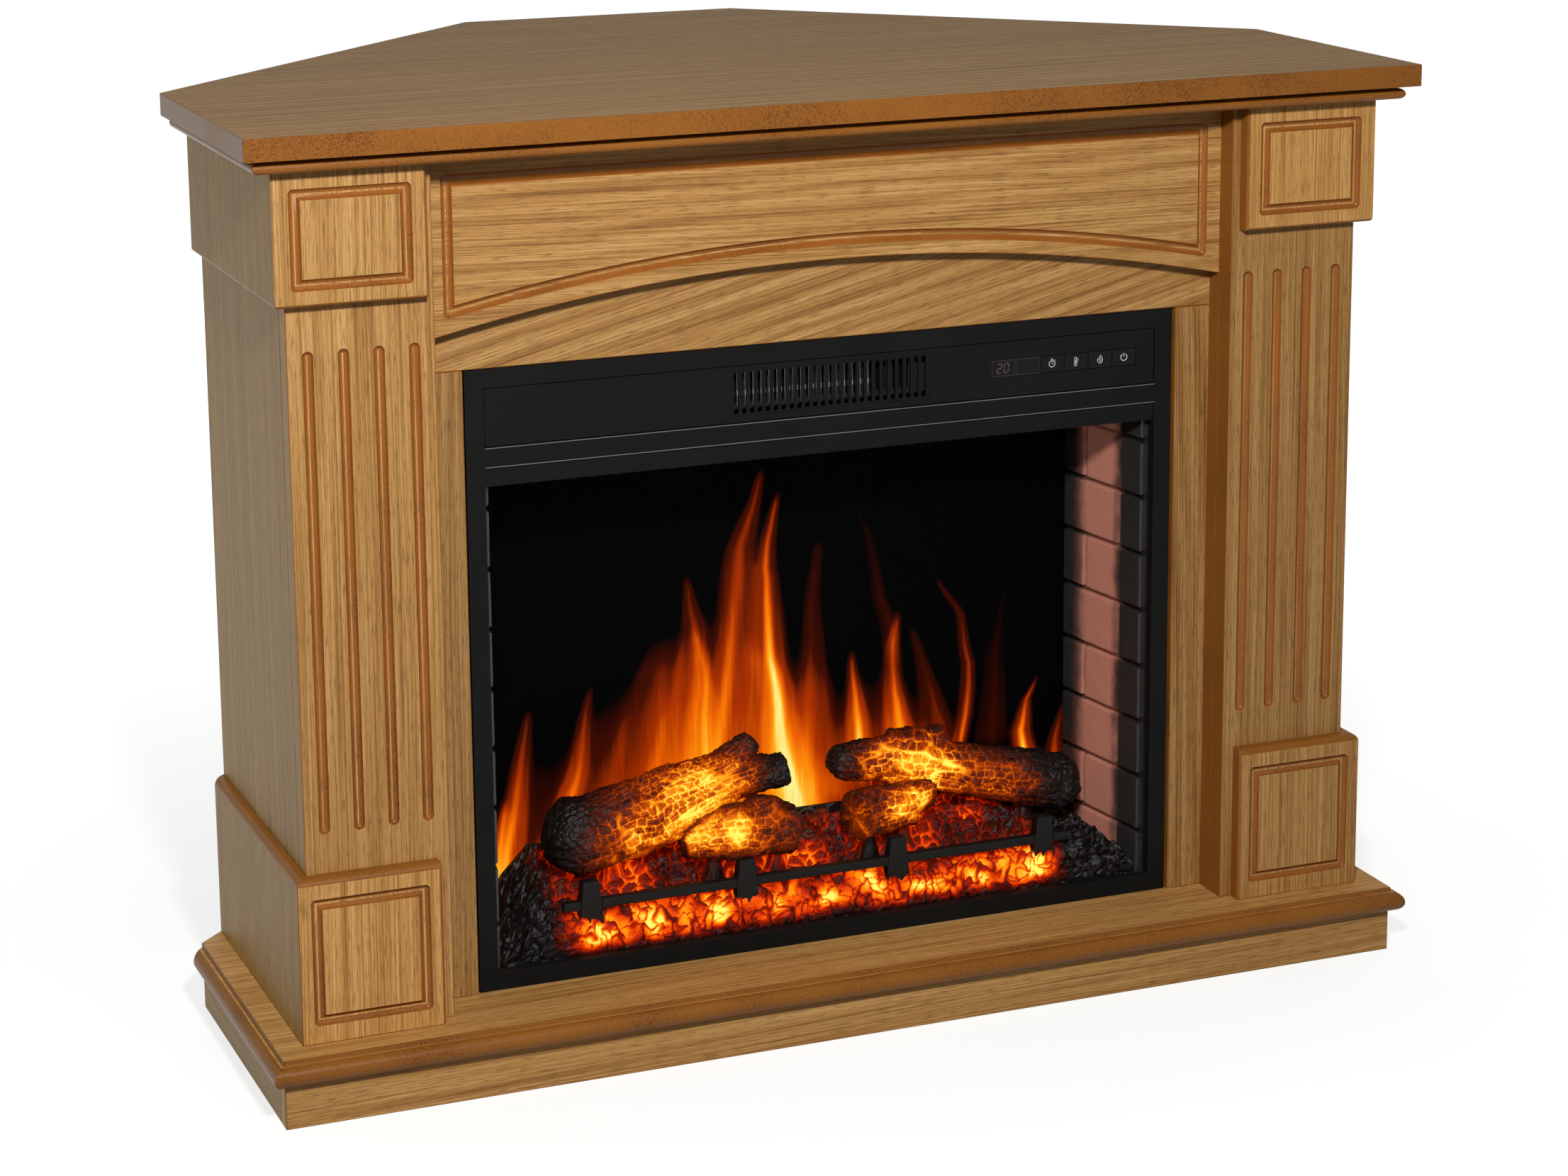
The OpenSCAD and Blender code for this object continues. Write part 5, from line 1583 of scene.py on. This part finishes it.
def studio_light(sky):
    """World that lights evenly and faintly green, and looks white to the camera."""
    world = bpy.data.worlds.new("studio")
    bpy.context.scene.world = world
    world.use_nodes = True
    tree = world.node_tree
    shader = tree.nodes["Background"]
    seen = seen_rays(tree, 0.5)
    colour = add(tree, "ShaderNodeMix", {
        "Factor": seen, COLOUR_A: paint("#E2EEE0"), COLOUR_B: (1, 1, 1, 1)}, data_type="RGBA")
    tree.links.new(colour.outputs["Result"], shader.inputs["Color"])
    level = add(tree, "ShaderNodeMapRange", {"Value": seen, "To Min": sky, "To Max": 1})
    tree.links.new(level.outputs[0], shader.inputs["Strength"])


def make_floor(tone):
    """Painted studio floor: matt, pale, with a barely visible roller texture of about 3 mm. It
    glows to the camera, more so away from the fireplace, so that it looks white there and keeps
    a soft contact shadow."""
    tree, shader = surface(FLOOR, Roughness=0.9, Specular_IOR_Level=0.2,
                           Emission_Color=(1, 1, 1, 1))
    place = add(tree, "ShaderNodeTexCoord").outputs["Object"]
    roller = add(tree, "ShaderNodeTexNoise", {"Vector": place, "Scale": 300.0, "Detail": 2.0})
    colour = add(tree, "ShaderNodeValToRGB", {"Fac": roller.outputs["Fac"]}, stops=[
        (0.0, dim(tone, 0.98)), (1.0, tone)])
    tree.links.new(colour.outputs[0], shader.inputs["Base Color"])
    # From the middle of the object: 0.6 m is about its edge, and 1.9 m well clear of it.
    away = add(tree, "ShaderNodeVectorMath", {0: place}, operation="LENGTH")
    veil = add(tree, "ShaderNodeMapRange", {
        "Value": away.outputs["Value"], "From Min": 0.6, "From Max": 1.9, "To Min": 0.78,
        "To Max": 1.0})
    level = add(tree, "ShaderNodeMath", {
        0: veil.outputs[0], 1: seen_rays(tree, 1.0)}, operation="MULTIPLY")
    tree.links.new(level.outputs[0], shader.inputs["Emission Strength"])


class FIREPLACE_OT_stage(bpy.types.Operator):
    """Set up the floor, the lamps and the camera"""
    bl_idname = "fireplace.stage"
    bl_label = "Stage"

    def execute(self, context):
        look = context.scene.stage_settings
        make_floor(look.floor_tone)
        shape = bmesh.new()
        bmesh.ops.create_grid(shape, x_segments=2, y_segments=2, size=FLOOR_SIZE,
                              matrix=Matrix.Translation((0, 0, FLOOR_TOP)))
        mesh = bpy.data.meshes.new("floor")
        shape.to_mesh(mesh)
        shape.free()
        mesh.materials.append(own_material(FLOOR))
        floor = bpy.data.objects.new("floor", mesh)
        context.scene.collection.objects.link(floor)
        for name, (place, target, size, share, colour, mirrored) in LAMPS.items():
            soft_lamp(name, place, target, size, look.key_power * share, colour, mirrored)
        studio_light(look.sky)
        build_camera()
        return {"FINISHED"}


class FIREPLACE_PT_parts(bpy.types.Panel):
    """Lists the fireplace's pieces and settings"""
    bl_label = "Fireplace"
    bl_idname = "FIREPLACE_PT_parts"
    bl_space_type = "VIEW_3D"
    bl_region_type = "UI"
    bl_category = "Fireplace"

    def draw(self, context):
        for group, kind in SETTINGS.items():
            box = self.layout.box()
            for name in kind.__annotations__:
                box.prop(getattr(context.scene, group), name)
        for operator in OPERATORS:
            self.layout.operator(operator.bl_idname)


SETTINGS = {"mantel_settings": MantelSettings, "fire_settings": FireSettings,
            "stage_settings": StageSettings}
OPERATORS = (
    FIREPLACE_OT_stage, FIREPLACE_OT_mantel, FIREPLACE_OT_carcass_back, FIREPLACE_OT_hardware,
    FIREPLACE_OT_key_marks, FIREPLACE_OT_flame_picture, FIREPLACE_OT_lining,
    FIREPLACE_OT_ember_bed, FIREPLACE_OT_logs, FIREPLACE_OT_small_steel, FIREPLACE_OT_glass)
CLASSES = (*SETTINGS.values(), *OPERATORS, FIREPLACE_PT_parts)


def register():
    """Register the classes and hang the settings on the scene."""
    for item in CLASSES:
        bpy.utils.register_class(item)
    for group, kind in SETTINGS.items():
        setattr(bpy.types.Scene, group, bpy.props.PointerProperty(type=kind))


def unregister():
    """Take the settings and classes away again."""
    for group in SETTINGS:
        delattr(bpy.types.Scene, group)
    for item in reversed(CLASSES):
        bpy.utils.unregister_class(item)


def main():
    """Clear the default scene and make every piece."""
    for name in ("Camera", "Cube", "Light"):
        if name in bpy.data.objects:
            bpy.data.objects.remove(bpy.data.objects[name])
    bpy.context.scene.view_settings.view_transform = "Standard"
    register()
    bpy.ops.fireplace.stage()
    bpy.ops.fireplace.mantel()
    bpy.ops.fireplace.carcass_back()
    bpy.ops.fireplace.hardware()
    bpy.ops.fireplace.key_marks()
    bpy.ops.fireplace.flame_picture()
    bpy.ops.fireplace.lining()
    bpy.ops.fireplace.ember_bed()
    bpy.ops.fireplace.logs()
    bpy.ops.fireplace.small_steel()
    bpy.ops.fireplace.glass()


if __name__ == "__main__":
    main()
